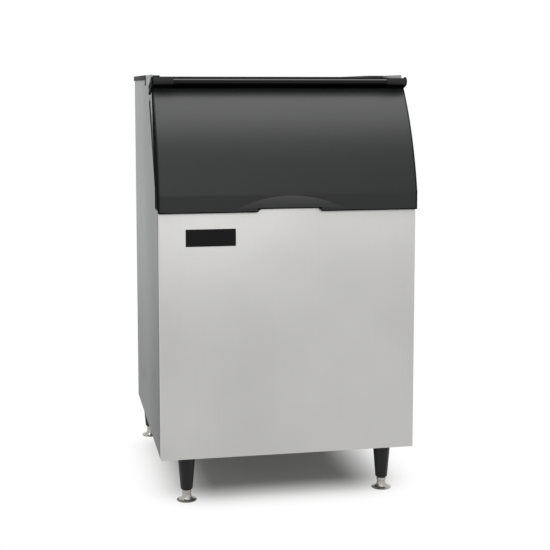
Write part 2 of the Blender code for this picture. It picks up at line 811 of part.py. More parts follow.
def door_corners():
    """Back corners of the door's section and the line where its shell meets its pan."""
    top_front = face_curve()[-1]
    top_way = (math.cos(TOP_FALL), -math.sin(TOP_FALL))
    back_point = (seat_depth(SILL, GASKET_THICKNESS), SILL)
    back_way = (math.sin(SLANT_ANGLE), math.cos(SLANT_ANGLE))
    top_back = meet(top_front, top_way, back_point, back_way)
    underside = SILL + DOOR_UNDERSIDE_GAP
    low_back = (seat_depth(underside, GASKET_THICKNESS), underside)
    pan_height = SILL + PAN_CORNER_HEIGHT
    pan_low = (seat_depth(pan_height, GASKET_THICKNESS), pan_height)
    pan_way = (math.sin(PAN_CORNER_ANGLE), math.cos(PAN_CORNER_ANGLE))
    pan_high = meet(top_front, top_way, pan_low, pan_way)
    return top_front, top_back, low_back, pan_low, pan_high


def finger_scoop(name, wall=0.0):
    """Cutter: a very wide, slightly tilted drum that bites the face above the lip.

    Its rearmost line passes behind the top of the notch; a wall moves it out on all sides.
    """
    tilt = math.atan2(SCOOP_DEPTH, SCOOP_RISE - NOTCH_RISE)
    mesh = bpy.data.meshes.new(name)
    shape = bmesh.new()
    length = 2 * (SCOOP_RISE + wall)
    bmesh.ops.create_cone(
        shape, cap_ends=True, segments=SCOOP_SIDES, radius1=SCOOP_RADIUS, radius2=SCOOP_RADIUS, depth=length,
    )
    half_facet = Matrix.Rotation(math.pi / SCOOP_SIDES, 3, "Z")
    bmesh.ops.rotate(shape, verts=shape.verts, cent=(0, 0, 0), matrix=half_facet)
    shape.to_mesh(mesh)
    shape.free()
    reach = SCOOP_RADIUS * math.cos(math.pi / SCOOP_SIDES) - wall
    rise = length / 2 - wall
    touch = Vector((FRONT_Y + SCOOP_DEPTH - DOOR_BULGE, SKIRT_BOTTOM + NOTCH_RISE))
    middle = touch - reach * Vector((math.cos(tilt), math.sin(tilt)))
    middle += rise * Vector((-math.sin(tilt), math.cos(tilt)))
    return as_cutter(add_object(name, mesh, None, (0, *middle), (tilt, 0, 0)))


def build_door():
    """Door: outer shell, foam core, inner pan, gasket and the rail that it hangs from."""
    top_front, top_back, low_back, pan_low, pan_high = door_corners()
    back_way = (math.sin(SLANT_ANGLE), math.cos(SLANT_ANGLE))
    face = face_curve()
    skirt_back = (DOOR_WALL - DOOR_BULGE, SKIRT_BOTTOM)

    section = face + [pan_high, pan_low, low_back, skirt_back]
    shell = along_x("door_shell", section, -DOOR_HALF_WIDTH, DOOR_HALF_WIDTH, BLACK)

    inner_face = [point for point in face_curve(DOOR_WALL) if point[1] > low_back[1] + DOOR_WALL]
    floor = low_back[1] + DOOR_WALL
    inner_face = [(inner_face[0][0], floor)] + inner_face[:-1]
    top_drop = DOOR_WALL / math.cos(TOP_FALL)
    top_way = (math.cos(TOP_FALL), -math.sin(TOP_FALL))
    top_start = (top_front[0], top_front[1] - top_drop)
    last_way = (inner_face[-1][0] - inner_face[-2][0], inner_face[-1][1] - inner_face[-2][1])
    inner_top = meet(inner_face[-1], last_way, top_start, top_way)

    def section_to(stand, lower):
        """Section of the door's inside, back to a plane that stands before the seat."""
        line = (seat_depth(SILL, stand), SILL)
        high = meet(top_start, top_way, line, back_way)
        low = (seat_depth(lower, stand), lower)
        return inner_face + [inner_top, high, low]

    open_back = section_to(-CUT_OVERRUN, floor)
    cavity = along_x("cut_shell_cavity", open_back, -DOOR_INSIDE, DOOR_INSIDE, None)
    combine(cavity, finger_scoop("cut_scoop_inner", SCOOP_WALL))
    combine(shell, finger_scoop("cut_scoop_outer"))
    combine(shell, cavity)

    behind = [
        (skirt_back[0], SKIRT_BOTTOM - CUT_OVERRUN),
        (skirt_back[0], low_back[1]),
        (low_back[0] + CUT_OVERRUN, low_back[1]),
        (low_back[0] + CUT_OVERRUN, SKIRT_BOTTOM - CUT_OVERRUN),
    ]
    behind_skirt = along_x("cut_behind_skirt", behind, -DOOR_INSIDE, DOOR_INSIDE, None)
    combine(behind_skirt, finger_scoop("cut_scoop_skirt", SCOOP_WALL))
    combine(shell, behind_skirt)

    notch = [
        (-NOTCH_HALF_WIDTH - NOTCH_CHAMFER, SKIRT_BOTTOM),
        (-NOTCH_HALF_WIDTH, SKIRT_BOTTOM + NOTCH_RISE),
        (NOTCH_HALF_WIDTH, SKIRT_BOTTOM + NOTCH_RISE),
        (NOTCH_HALF_WIDTH + NOTCH_CHAMFER, SKIRT_BOTTOM),
        (NOTCH_HALF_WIDTH + NOTCH_CHAMFER, SKIRT_BOTTOM - NOTCH_RISE),
        (-NOTCH_HALF_WIDTH - NOTCH_CHAMFER, SKIRT_BOTTOM - NOTCH_RISE),
    ]
    cutter = along_y("cut_notch", notch, -DOOR_BULGE - CUT_OVERRUN, CUT_OVERRUN, None)
    combine(shell, cutter)

    pan_inner = DOOR_INSIDE - GAP
    pan_stand = GASKET_THICKNESS + PAN_WALL
    lift = (GAP * math.cos(PAN_CORNER_ANGLE), -GAP * math.sin(PAN_CORNER_ANGLE))
    wedge = [(point[0] + lift[0], point[1] + lift[1]) for point in (pan_high, pan_low)]
    tip_line = (0, pan_low[1] + PAN_TIP)
    tip_back = meet(low_back, back_way, tip_line, (1, 0))
    tip_front = meet(wedge[1], (math.sin(PAN_CORNER_ANGLE), math.cos(PAN_CORNER_ANGLE)), tip_line, (1, 0))
    half = DOOR_HALF_WIDTH - PAN_RECESS
    sides = along_x("join_pan_sides", [wedge[0], top_back, tip_back, tip_front], -half, half, None)
    plate_low = floor + GAP
    plate = [
        (seat_depth(plate_low, pan_stand), plate_low),
        meet(top_start, top_way, (seat_depth(SILL, pan_stand), SILL), back_way),
        meet(top_start, top_way, back_point_of_door(), back_way),
        (seat_depth(plate_low, GASKET_THICKNESS), plate_low),
    ]
    pan = along_x("door_pan", plate, -pan_inner, pan_inner, PAN_GREY)
    combine(pan, sides, "UNION")
    hollow = section_to(pan_stand, floor)
    combine(pan, along_x("cut_pan_hollow", hollow, -pan_inner + PAN_WALL, pan_inner - PAN_WALL, None))

    core = section_to(pan_stand + GAP, floor + GAP)
    core = shrink(core, GAP)
    foam = along_x("door_insulation", core, -pan_inner + PAN_WALL + GAP, pan_inner - PAN_WALL - GAP, FOAM)
    combine(foam, finger_scoop("cut_scoop_foam", SCOOP_WALL + GAP))

    gasket = build_gasket()
    rail_pieces = build_rail()
    pivot = pivot_at("door_hinge_axis", (0, FRONT_Y + AXIS_DEPTH, AXIS))
    ride_on(pivot, [shell, pan, foam, gasket] + rail_pieces)


def back_point_of_door():
    """A point on the plane of the door's back."""
    return (seat_depth(SILL, GASKET_THICKNESS), SILL)


def shrink(outline, distance):
    """Outline drawn in on all sides by a small distance, for a core inside a skin."""
    count = len(outline)
    area = sum(
        outline[i][0] * outline[(i + 1) % count][1] - outline[(i + 1) % count][0] * outline[i][1]
        for i in range(count)
    )
    turn = 1 if area > 0 else -1
    lines = []
    for i in range(count):
        first = Vector(outline[i])
        way = (Vector(outline[(i + 1) % count]) - first).normalized()
        inward = Vector((-way.y, way.x)) * turn
        lines.append((first + inward * distance, way))
    return [meet(lines[i - 1][0], lines[i - 1][1], lines[i][0], lines[i][1]) for i in range(count)]


def build_gasket():
    """Soft seal on the door's back: a frame that lies on the slanted seat."""
    low = SILL + GASKET_EDGE / 2
    high = TOP - GASKET_TOP_DROP
    half = LINER_INSIDE + GASKET_EDGE + GASKET_WIDTH
    foot = Vector((0, FRONT_Y + seat_depth(low), low))
    length = (high - low) / math.cos(SLANT_ANGLE)
    thickness = GASKET_THICKNESS - 2 * GAP
    tilt = -SLANT_ANGLE
    outer = [(-half, 0), (half, 0), (half, length), (-half, length)]
    inner_half = half - GASKET_WIDTH
    inner = [
        (-inner_half, GASKET_WIDTH),
        (inner_half, GASKET_WIDTH),
        (inner_half, length - GASKET_WIDTH),
        (-inner_half, length - GASKET_WIDTH),
    ]
    outward = Vector((0, -math.cos(SLANT_ANGLE), math.sin(SLANT_ANGLE)))
    centre = foot + outward * (GASKET_THICKNESS / 2)
    turn = (math.pi / 2 + tilt, 0, 0)
    gasket = filled("door_gasket", outer, thickness, RUBBER, centre, turn)
    opening = filled("cut_gasket_opening", inner, CUT_OVERRUN, None, centre, turn)
    return combine(gasket, opening)


def build_rail():
    """Rounded bar across the door's top, its web and the bushes in its ends."""
    half_depth = RAIL_DEPTH / 2
    half_height = RAIL_HEIGHT / 2
    back = AXIS_DEPTH + half_depth
    web_back = back - RAIL_WEB_INSET
    web_front = web_back - RAIL_WEB
    corners = [
        (AXIS_DEPTH - half_depth, AXIS - half_height),
        (AXIS_DEPTH - half_depth, AXIS + half_height),
        (back, AXIS + half_height),
        (back, AXIS - half_height + RAIL_BACK_RISE),
        (web_back, AXIS - half_height + RAIL_BACK_RISE),
        (web_back, door_top_height(web_back) + GAP),
        (web_front, door_top_height(web_front) + GAP),
        (web_front, AXIS - half_height),
    ]
    radii = [RAIL_FRONT_RADIUS, RAIL_FRONT_RADIUS, RAIL_BACK_RADIUS, 0, 0, 0, 0, 0]
    end = HALF_WIDTH - GAP
    rail = along_x("hinge_rail", rounded(corners, radii), -end, end, BLACK)
    pieces = [rail]
    bush_outside = PIN_RADIUS + GAP + BUSH_WALL
    for side in (-1, 1):
        place = (side * end, FRONT_Y + AXIS_DEPTH, AXIS)
        socket = rod(
            f"cut_rail_bush_{side_name(side)}", bush_outside + GAP, -PIN_LENGTH - GAP, CUT_OVERRUN, None,
            place, TURN_SIDES, along_width(side),
        )
        combine(rail, socket)
        bush = turned(
            f"hinge_bush_{side_name(side)}",
            [
                (bush_outside, 0),
                (bush_outside, -BUSH_LENGTH),
                (PIN_RADIUS + GAP, -BUSH_LENGTH),
                (PIN_RADIUS + GAP, 0),
            ],
            NYLON, place, TURN_SIDES, along_width(side),
        )
        pieces.append(bush)
    return pieces


def leg_places():
    """Name and place of each leg: the back pair stands wider than the front pair."""
    places = []
    for end, inset, depth in (
        ("front", FRONT_LEG_SIDE_INSET, FRONT_LEG_INSET),
        ("back", BACK_LEG_SIDE_INSET, CABINET_DEPTH - BACK_LEG_INSET),
    ):
        for side in (-1, 1):
            places.append((f"{end}_{side_name(side)}", side * (HALF_WIDTH - inset), depth))
    return places


def build_legs():
    """Mounting plates, tapered legs and screw-in levelling feet."""
    plate_bottom = BASE - GAP - LEG_PLATE_THICKNESS
    leg_top = plate_bottom - GAP
    for place, across, depth in leg_places():
        half = LEG_PLATE_SIZE / 2
        plate = block(
            f"leg_plate_{place}",
            (across - half, depth - half, plate_bottom),
            (across + half, depth + half, BASE - GAP),
            ZINC,
        )
        here = (across, FRONT_Y + depth, 0)
        hole = rod(
            f"cut_plate_{place}", LEG_STUD_RADIUS + GAP, plate_bottom - CUT_OVERRUN, BASE + CUT_OVERRUN, None,
            here, SMALL_SIDES,
        )
        combine(plate, hole)
        bore = FOOT_STEM_RADIUS + THREAD_CLEARANCE
        turned(
            f"leg_{place}",
            [
                (0, leg_top + LEG_PLATE_THICKNESS),
                (LEG_STUD_RADIUS, leg_top + LEG_PLATE_THICKNESS),
                (LEG_STUD_RADIUS, leg_top),
                (LEG_TOP_RADIUS, leg_top),
                (LEG_FOOT_RADIUS, LEG_LIFT + LEG_CHAMFER),
                (LEG_FOOT_RADIUS - LEG_CHAMFER, LEG_LIFT),
                (bore, LEG_LIFT),
                (bore, LEG_LIFT + LEG_BORE_DEPTH),
                (0, LEG_LIFT + LEG_BORE_DEPTH),
            ],
            BLACK, here,
        )
        collar_top = LEG_LIFT - FOOT_CLEARANCE
        dome = [(FOOT_RADIUS, FOOT_RIM)]
        flare = FOOT_RADIUS - FOOT_COLLAR_RADIUS
        for step in range(1, CORNER_STEPS):
            turn = math.pi / 2 * step / CORNER_STEPS
            radius = FOOT_RADIUS - flare * math.sin(turn)
            dome.append((radius, FOOT_DOME - (FOOT_DOME - FOOT_RIM) * math.cos(turn)))
        pivot = pivot_at(f"foot_axis_{place}", (across, FRONT_Y + depth, collar_top))
        foot = turned(
            f"foot_{place}",
            [
                (0, collar_top + FOOT_STEM_LENGTH),
                (FOOT_STEM_RADIUS, collar_top + FOOT_STEM_LENGTH),
                (FOOT_STEM_RADIUS, collar_top),
                (FOOT_COLLAR_RADIUS, collar_top),
                (FOOT_COLLAR_RADIUS, FOOT_DOME),
            ]
            + list(reversed(dome))
            + [(FOOT_RADIUS, 0), (0, 0)],
            NICKEL, here,
        )
        ride_on(pivot, [foot])


def build_drain():
    """Bulkhead fitting through the floor, its nut and the lift-out strainer."""
    here = (0, FRONT_Y + DRAIN_DEPTH, 0)
    seat = FLOOR_TOP + GAP
    recess = STRAINER_RADIUS + GAP
    recess_floor = seat + DRAIN_FLANGE - STRAINER_THICKNESS
    outlet = BASE - DRAIN_DROP
    turned(
        "drain_fitting",
        [
            (DRAIN_FLANGE_RADIUS, seat + DRAIN_FLANGE),
            (DRAIN_FLANGE_RADIUS, seat),
            (DRAIN_TUBE_RADIUS, seat),
            (DRAIN_TUBE_RADIUS, outlet),
            (DRAIN_BORE_RADIUS, outlet),
            (DRAIN_BORE_RADIUS, recess_floor),
            (recess, recess_floor),
            (recess, seat + DRAIN_FLANGE),
        ],
        DARK_GREY, here,
    )
    nut_top = BASE - GAP
    nut = rod(
        "drain_nut", DRAIN_NUT_RADIUS, nut_top - DRAIN_NUT_HEIGHT, nut_top, DARK_GREY, here, HEX_SIDES,
    )
    combine(nut, drain_hole("cut_nut_bore"))
    low = recess_floor + GAP
    high = low + STRAINER_THICKNESS
    strainer = turned(
        "drain_strainer",
        [
            (0, high + STRAINER_KNOB_HEIGHT),
            (STRAINER_KNOB_RADIUS, high + STRAINER_KNOB_HEIGHT),
            (STRAINER_KNOB_RADIUS, high),
            (STRAINER_RADIUS, high),
            (STRAINER_RADIUS, low),
            (0, low),
        ],
        STRAINER_STEEL, here, STRAINER_SIDES,
    )
    for index in range(STRAINER_HOLES):
        turn = math.tau * (index + 1 / 2) / STRAINER_HOLES
        spot = (
            STRAINER_HOLE_RING * math.cos(turn),
            FRONT_Y + DRAIN_DEPTH + STRAINER_HOLE_RING * math.sin(turn),
            0,
        )
        hole = rod(
            f"cut_strainer_{index}", STRAINER_HOLE_RADIUS, low - CUT_OVERRUN, high + CUT_OVERRUN, None,
            spot, SMALL_SIDES // 2,
        )
        combine(strainer, hole)
    pivot = pivot_at("strainer_lift_axis", (0, FRONT_Y + DRAIN_DEPTH, low))
    ride_on(pivot, [strainer])


def build_baffle():
    """Ice baffle: a plate on a rod that turns in a bracket on each wall of the liner."""
    height = TOP - BAFFLE_DROP
    depth = seat_depth(TOP - LINTEL_DROP) + LINTEL_DEPTH + BAFFLE_STAND
    wall = LINER_INSIDE - GAP
    bracket_inside = wall - BAFFLE_BRACKET_THICKNESS
    rod_end = wall - GAP
    for side in (-1, 1):
        half_depth = BAFFLE_BRACKET_DEPTH / 2
        half_height = BAFFLE_BRACKET_HEIGHT / 2
        low, high = sorted((side * wall, side * bracket_inside))
        bracket = block(
            f"baffle_bracket_{side_name(side)}",
            (low, depth - half_depth, height - half_height),
            (high, depth + half_depth, height + half_height),
            LINER_WHITE,
        )
        hole = rod(
            f"cut_baffle_bracket_{side_name(side)}", BAFFLE_ROD_RADIUS + BAFFLE_HOLE_CLEARANCE,
            -CUT_OVERRUN, CUT_OVERRUN, None,
            (side * wall, FRONT_Y + depth, height), SMALL_SIDES, along_width(side),
        )
        combine(bracket, hole)
    plate_half = bracket_inside - BAFFLE_SIDE_GAP
    plate = block(
        "ice_baffle",
        (-plate_half, depth - BAFFLE_THICKNESS / 2, height - BAFFLE_HEIGHT),
        (plate_half, depth + BAFFLE_THICKNESS / 2, height),
        BAFFLE_WHITE,
    )
    bar = rod(
        "join_baffle_rod", BAFFLE_ROD_RADIUS, -rod_end, rod_end, None,
        (0, FRONT_Y + depth, height), SMALL_SIDES, along_width(1),
    )
    combine(plate, bar, "UNION")
    pivot = pivot_at("baffle_hinge_axis", (0, FRONT_Y + depth, height))
    ride_on(pivot, [plate])


def build_scoop():
    """Open pocket on the right wall, and the ice scoop that stands in it."""
    wall = LINER_INSIDE - GAP
    near = wall - HOLDER_WIDTH
    floor = SILL - HOLDER_DROP
    low = (near, HOLDER_DEPTH, floor)
    high = (wall, HOLDER_DEPTH + HOLDER_LENGTH, floor + HOLDER_HEIGHT)
    holder = block("scoop_holder", low, high, LINER_WHITE)
    inner_low = (near + HOLDER_WALL, HOLDER_DEPTH + HOLDER_WALL, floor + HOLDER_WALL)
    inner_high = (
        wall - HOLDER_WALL,
        HOLDER_DEPTH + HOLDER_LENGTH - HOLDER_WALL,
        floor + HOLDER_HEIGHT + CUT_OVERRUN,
    )
    combine(holder, as_cutter(block("cut_holder_pocket", inner_low, inner_high, None)))

    left = inner_low[0] + BOWL_CLEARANCE
    right = inner_high[0] - BOWL_CLEARANCE
    front = inner_low[1] + BOWL_CLEARANCE
    back = inner_high[1] - BOWL_CLEARANCE
    bottom = inner_low[2] + GAP
    top = bottom + BOWL_LENGTH
    trough = [
        (left, front),
        (right, front),
        (right, back),
        (left, back),
        (left, back - BOWL_WALL),
        (right - BOWL_WALL, back - BOWL_WALL),
        (right - BOWL_WALL, front + BOWL_WALL),
        (left, front + BOWL_WALL),
    ]
    inner_corner = BOWL_CORNER - BOWL_WALL
    radii = [0, BOWL_CORNER, BOWL_CORNER, 0, 0, inner_corner, inner_corner, 0]
    bowl = along_z("scoop", rounded(trough, radii), bottom, top, SCOOP_BLUE)
    end = [(left, front), (right, front), (right, back), (left, back)]
    end = rounded(end, [0, BOWL_CORNER, BOWL_CORNER, 0])
    lid = along_z("join_scoop_end", end, top - BOWL_WALL, top, None)
    combine(bowl, lid, "UNION")
    middle = ((left + right) / 2, FRONT_Y + (front + back) / 2, 0)
    grip = turned(
        "join_scoop_handle",
        [
            (0, top + HANDLE_LENGTH),
            (HANDLE_RADIUS - HANDLE_ROUND, top + HANDLE_LENGTH),
            (HANDLE_RADIUS, top + HANDLE_LENGTH - HANDLE_ROUND),
            (HANDLE_RADIUS, top - BOWL_WALL / 2),
            (0, top - BOWL_WALL / 2),
        ],
        None, middle, SMALL_SIDES,
    )
    combine(bowl, grip, "UNION")
    pivot = pivot_at("scoop_lift_axis", (middle[0], middle[1], bottom))
    ride_on(pivot, [bowl])


for leftover in list(bpy.data.objects):
    bpy.data.objects.remove(leftover)

PARTS = bpy.data.collections.new("ice storage bin")
CUTTERS = bpy.data.collections.new("cutters")
bpy.context.scene.collection.children.link(PARTS)
bpy.context.scene.collection.children.link(CUTTERS)

STEEL = make_finish("brushed stainless steel", (0.60, 0.60, 0.59), 0.34, 1.0)
ZINC = make_finish("zinc-plated steel", (0.55, 0.56, 0.57), 0.45, 1.0)
NICKEL = make_finish("bright nickel", (0.66, 0.63, 0.58), 0.18, 1.0)
STRAINER_STEEL = make_finish("strainer steel", (0.62, 0.62, 0.62), 0.30, 1.0)
BLACK = make_finish("textured black plastic", (0.022, 0.024, 0.024), 0.48, 0.0)
BLACK_GLOSS = make_finish("black badge plate", (0.010, 0.010, 0.011), 0.30, 0.0)
DARK_GREY = make_finish("dark grey plastic", (0.085, 0.088, 0.090), 0.55, 0.0)
PAN_GREY = make_finish("door pan grey plastic", (0.42, 0.42, 0.42), 0.40, 0.0)
LINER_WHITE = make_finish("white liner plastic", (0.82, 0.83, 0.83), 0.35, 0.0)
BAFFLE_WHITE = make_finish("baffle plastic", (0.80, 0.82, 0.84), 0.30, 0.0)
FOAM = make_finish("rigid insulating foam", (0.78, 0.70, 0.48), 0.90, 0.0)
RUBBER = make_finish("black rubber", (0.020, 0.020, 0.020), 0.75, 0.0)
NYLON = make_finish("nylon bush", (0.72, 0.71, 0.66), 0.50, 0.0)
SCOOP_BLUE = make_finish("scoop plastic", (0.10, 0.24, 0.45), 0.35, 0.0)

build_shell_panels()
build_insulation_and_liner()
build_opening_trim()
build_hinge()
build_door()
build_legs()
build_drain()
build_baffle()
build_scoop()
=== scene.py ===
"""Ice storage bin: the fine pieces, finishes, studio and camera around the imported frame.

Pieces are drawn in the bin's own places: across the width, in depth behind the front panel
and in height above the floor, all in metres. Each is shifted once, when it is finished.
"""

import logging
import math
from dataclasses import dataclass
from enum import Enum
from functools import cached_property
from typing import Callable, Iterable, Optional, Sequence, Union

import bmesh
import bpy
from mathutils import Matrix, Vector


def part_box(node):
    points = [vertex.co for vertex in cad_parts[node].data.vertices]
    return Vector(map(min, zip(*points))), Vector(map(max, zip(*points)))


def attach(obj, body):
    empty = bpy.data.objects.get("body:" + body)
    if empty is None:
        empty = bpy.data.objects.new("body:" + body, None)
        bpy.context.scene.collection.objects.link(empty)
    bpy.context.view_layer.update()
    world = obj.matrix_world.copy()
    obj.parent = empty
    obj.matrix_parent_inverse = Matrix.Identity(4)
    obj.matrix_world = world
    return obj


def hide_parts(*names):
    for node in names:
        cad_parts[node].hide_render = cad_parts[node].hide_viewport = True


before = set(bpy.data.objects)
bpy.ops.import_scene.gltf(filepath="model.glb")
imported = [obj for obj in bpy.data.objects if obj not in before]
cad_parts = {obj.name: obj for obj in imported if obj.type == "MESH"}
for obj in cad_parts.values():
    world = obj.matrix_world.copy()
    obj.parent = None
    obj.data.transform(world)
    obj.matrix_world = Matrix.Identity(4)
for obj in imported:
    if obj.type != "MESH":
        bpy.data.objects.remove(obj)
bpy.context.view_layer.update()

LOG = logging.getLogger("ice_bin")
Point = tuple[float, float]
Place = tuple[float, float, float]
Colour = tuple[float, float, float]
Profile = tuple[Point, ...]
EdgeTest = Callable[[bmesh.types.BMEdge], bool]

SIDES = ((-1, "left"), (1, "right"))
UPWARD: Place = (0.0, 0.0, 1.0)
ORIGIN: Place = (0.0, 0.0, 0.0)
DARK: Colour = (0.0, 0.0, 0.0)
WHITE = (1.0, 1.0, 1.0, 1.0)

# Points closer together than this are one point, in metres.
MERGE = 0.00001
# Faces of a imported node, and of a cut shape, that meet at less than this are one, in degrees.
FLAT_NODE, FLAT_CUT = 0.3, 0.05
# Least cosine between a face's direction and the way that it is said to look.
FACING = 0.9
# Steps of a corner that is rounded in a section, and the profile of every rounding.
CORNER_STEPS, ROUND = 8, 0.5
# The Mix node's two colour inputs and its colour output go by number, as their names repeat.
MIX_COLOURS, MIX_RESULT = (6, 7), 2


@dataclass(frozen=True)
class BinSizes:
    """Sizes that the sub-assemblies share, in metres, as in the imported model."""

    width: float = 0.762
    depth: float = 0.7874
    height: float = 1.1176
    clearance: float = 0.141
    sheet: float = 0.0012
    gap: float = 0.0003
    opening: float = 0.3786
    bulge: float = 0.0096
    rim_wall: float = 0.003
    axis_depth: float = 0.127
    axis_drop: float = 0.0201
    slant: float = math.radians(31.8)
    slant_start: float = 0.048
    seat_start: float = 0.072
    gasket: float = 0.008

    @property
    def half(self) -> float:
        """Half of the cabinet's width."""
        return self.width / 2

    @property
    def top(self) -> float:
        """Height of the cabinet's top above the floor."""
        return self.clearance + self.height

    @property
    def sill(self) -> float:
        """Height of the front panel's top."""
        return self.top - self.opening

    @property
    def axis_height(self) -> float:
        """Height of the door's hinge axis."""
        return self.top - self.axis_drop

    @property
    def front_y(self) -> float:
        """Where the front panel's face stands in the model's frame."""
        return (self.bulge - self.depth - self.rim_wall) / 2

    def seat_depth(self, height: float, stand: float = 0.0) -> float:
        """Gives the depth of the slanted plane that the door closes on.

        Args:
            height: Height above the floor.
            stand: Distance in front of the plane, square to it.

        Returns:
            The depth at that height.
        """
        run = (height - self.sill - self.slant_start) * math.tan(self.slant)
        return self.seat_start + run - stand / math.cos(self.slant)


SIZES = BinSizes()


class Axis(Enum):
    """Direction that a flat section is drawn out along."""

    ACROSS = (1.0, 0.0, 0.0)
    DEEP = (0.0, 1.0, 0.0)
    UP = (0.0, 0.0, 1.0)

    def at(self, point: Point, along: float) -> Vector:
        """Places a point of a section.

        Args:
            point: Depth and height, across and height, or across and depth.
            along: Where the section stands on the axis.

        Returns:
            The place as across, depth and height.
        """
        if self is Axis.ACROSS:
            return Vector((along, point[0], point[1]))
        if self is Axis.DEEP:
            return Vector((point[0], along, point[1]))
        return Vector((point[0], point[1], along))


def meet(first: Point, first_way: Point, second: Point, second_way: Point) -> Point:
    """Finds where two lines of a section meet.

    Args:
        first: A point of the first line.
        first_way: The first line's direction.
        second: A point of the second line.
        second_way: The second line's direction.

    Returns:
        The common point.
    """
    cross = first_way[0] * second_way[1] - first_way[1] * second_way[0]
    across = second[0] - first[0]
    up = second[1] - first[1]
    reach = (across * second_way[1] - up * second_way[0]) / cross
    return (first[0] + reach * first_way[0], first[1] + reach * first_way[1])


@dataclass(frozen=True)
class Edge:
    """How sharp edges are rounded: width on each face, steps and least angle in degrees."""

    width: float
    steps: int = 3
    angle: float = 40.0


def in_plane(across: float) -> EdgeTest:
    """Makes a test for edges that lie wholly at one place across the width."""
    return lambda edge: all(abs(vert.co.x - across) < MERGE for vert in edge.verts)


class Shape:
    """A mesh in the making."""

    def __init__(self) -> None:
        """Starts with no points."""
        self.bm = bmesh.new()

    @classmethod
    def of_node(cls, node: str) -> "Shape":
        """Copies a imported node, merges its doubles and joins its flat faces.

        Args:
            node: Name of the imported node.

        Returns:
            The copy, in the bin's own places.
        """
        shape = cls()
        shape.bm.from_mesh(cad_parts[node].data)
        return shape.clean(FLAT_NODE).move((0, -SIZES.front_y, 0))

    @classmethod
    def box(
        cls, low: Sequence[float], high: Sequence[float], edge: Optional[Edge] = None,
    ) -> "Shape":
        """Makes a box between two corners.

        Args:
            low: Lowest corner.
            high: Highest corner.
            edge: Rounding of its edges.

        Returns:
            The box.
        """
        shape = cls()
        bmesh.ops.create_cube(shape.bm, size=1.0)
        size = [far - near for near, far in zip(low, high)]
        bmesh.ops.scale(shape.bm, vec=size, verts=shape.bm.verts)
        shape.move([(far + near) / 2 for near, far in zip(low, high)])
        return shape.round(edge) if edge else shape

    @classmethod
    def prism(
        cls, axis: Axis, outline: Sequence[Point], low: float, high: float,
        radii: Optional[dict[int, float]] = None,
    ) -> "Shape":
        """Draws a flat outline out along an axis.

        Args:
            axis: Direction of the drawing.
            outline: Corners of the section.
            low: Where it starts.
            high: Where it ends.
            radii: Radius of each corner that is rounded, by its number.

        Returns:
            The solid.
        """
        shape = cls()
        Pen(shape, axis, outline[0], low).line(*outline[1:]).close()
        for number, radius in (radii or {}).items():
            spot = axis.at(outline[number], low)
            nearest = min(shape.bm.verts, key=lambda vert: (vert.co - spot).length)
            bmesh.ops.bevel(
                shape.bm, geom=[nearest], offset=radius, segments=CORNER_STEPS, profile=ROUND,
                affect="VERTICES", clamp_overlap=True, material=-1,
            )
        return shape.draw_out(axis, high - low)

    @classmethod
    def turned(
        cls, profile: Union[Sequence[Point], "Shape"], centre: Sequence[float], steps: int,
        way: Sequence[float] = UPWARD,
    ) -> "Shape":
        """Spins a profile about an axis.

        Args:
            profile: Corners as (radius, height along the axis), or a shape that holds them as
                a chain.
            centre: Where height zero of the axis stands.
            steps: Facets of the full turn.
            way: Direction of the axis.

        Returns:
            The turned solid.
        """
        if isinstance(profile, Shape):
            shape = profile
        else:
            shape = cls()
            pen = Pen(shape, Axis.DEEP, profile[0], 0.0).line(*profile[1:])
            if profile[0][0] > 0:
                pen.join()
        bmesh.ops.spin(
            shape.bm, geom=shape.bm.verts[:] + shape.bm.edges[:], cent=ORIGIN, axis=UPWARD,
            dvec=ORIGIN, angle=math.tau, steps=steps, use_merge=True, use_normal_flip=False,
            use_duplicate=False,
        )
        bmesh.ops.remove_doubles(shape.bm, verts=shape.bm.verts, dist=MERGE)
        shape.outward()
        turn = Vector(UPWARD).rotation_difference(Vector(way)).to_matrix()
        bmesh.ops.rotate(shape.bm, verts=shape.bm.verts, cent=ORIGIN, matrix=turn)
        return shape.move(centre)

    def clean(self, angle: float) -> "Shape":
        """Merges doubled points, and joins faces that meet at less than an angle in degrees."""
        bmesh.ops.remove_doubles(self.bm, verts=self.bm.verts, dist=MERGE)
        bmesh.ops.dissolve_limit(
            self.bm, angle_limit=math.radians(angle), verts=self.bm.verts, edges=self.bm.edges,
        )
        return self

    def facing(self, way: Sequence[float], largest: int = 0) -> list[bmesh.types.BMFace]:
        """Lists the faces that look one way.

        Args:
            way: The direction.
            largest: How many of the largest to list, or 0 for all of them.

        Returns:
            The faces.
        """
        found = [face for face in self.bm.faces if face.normal.dot(Vector(way)) > FACING]
        if largest:
            found = sorted(found, key=lambda face: -face.calc_area())[:largest]
        return found

    def draw_out(self, axis: Axis, distance: float) -> "Shape":
        """Draws every face out into a solid.

        Args:
            axis: Direction.
            distance: How far.

        Returns:
            This shape.
        """
        grown = bmesh.ops.extrude_face_region(self.bm, geom=self.bm.faces[:])
        moved = [item for item in grown["geom"] if isinstance(item, bmesh.types.BMVert)]
        bmesh.ops.translate(self.bm, verts=moved, vec=Vector(axis.value) * distance)
        return self.outward()

    def outward(self) -> "Shape":
        """Turns every face outwards."""
        bmesh.ops.recalc_face_normals(self.bm, faces=self.bm.faces)
        return self

    def move(self, by: Sequence[float]) -> "Shape":
        """Shifts the whole shape."""
        bmesh.ops.translate(self.bm, verts=self.bm.verts, vec=by)
        return self

    def turn(self, angle: float, axis: Axis) -> "Shape":
        """Turns the whole shape about an axis through the origin, by an angle in radians."""
        matrix = Matrix.Rotation(angle, 3, axis.value)
        bmesh.ops.rotate(self.bm, verts=self.bm.verts, cent=ORIGIN, matrix=matrix)
        return self

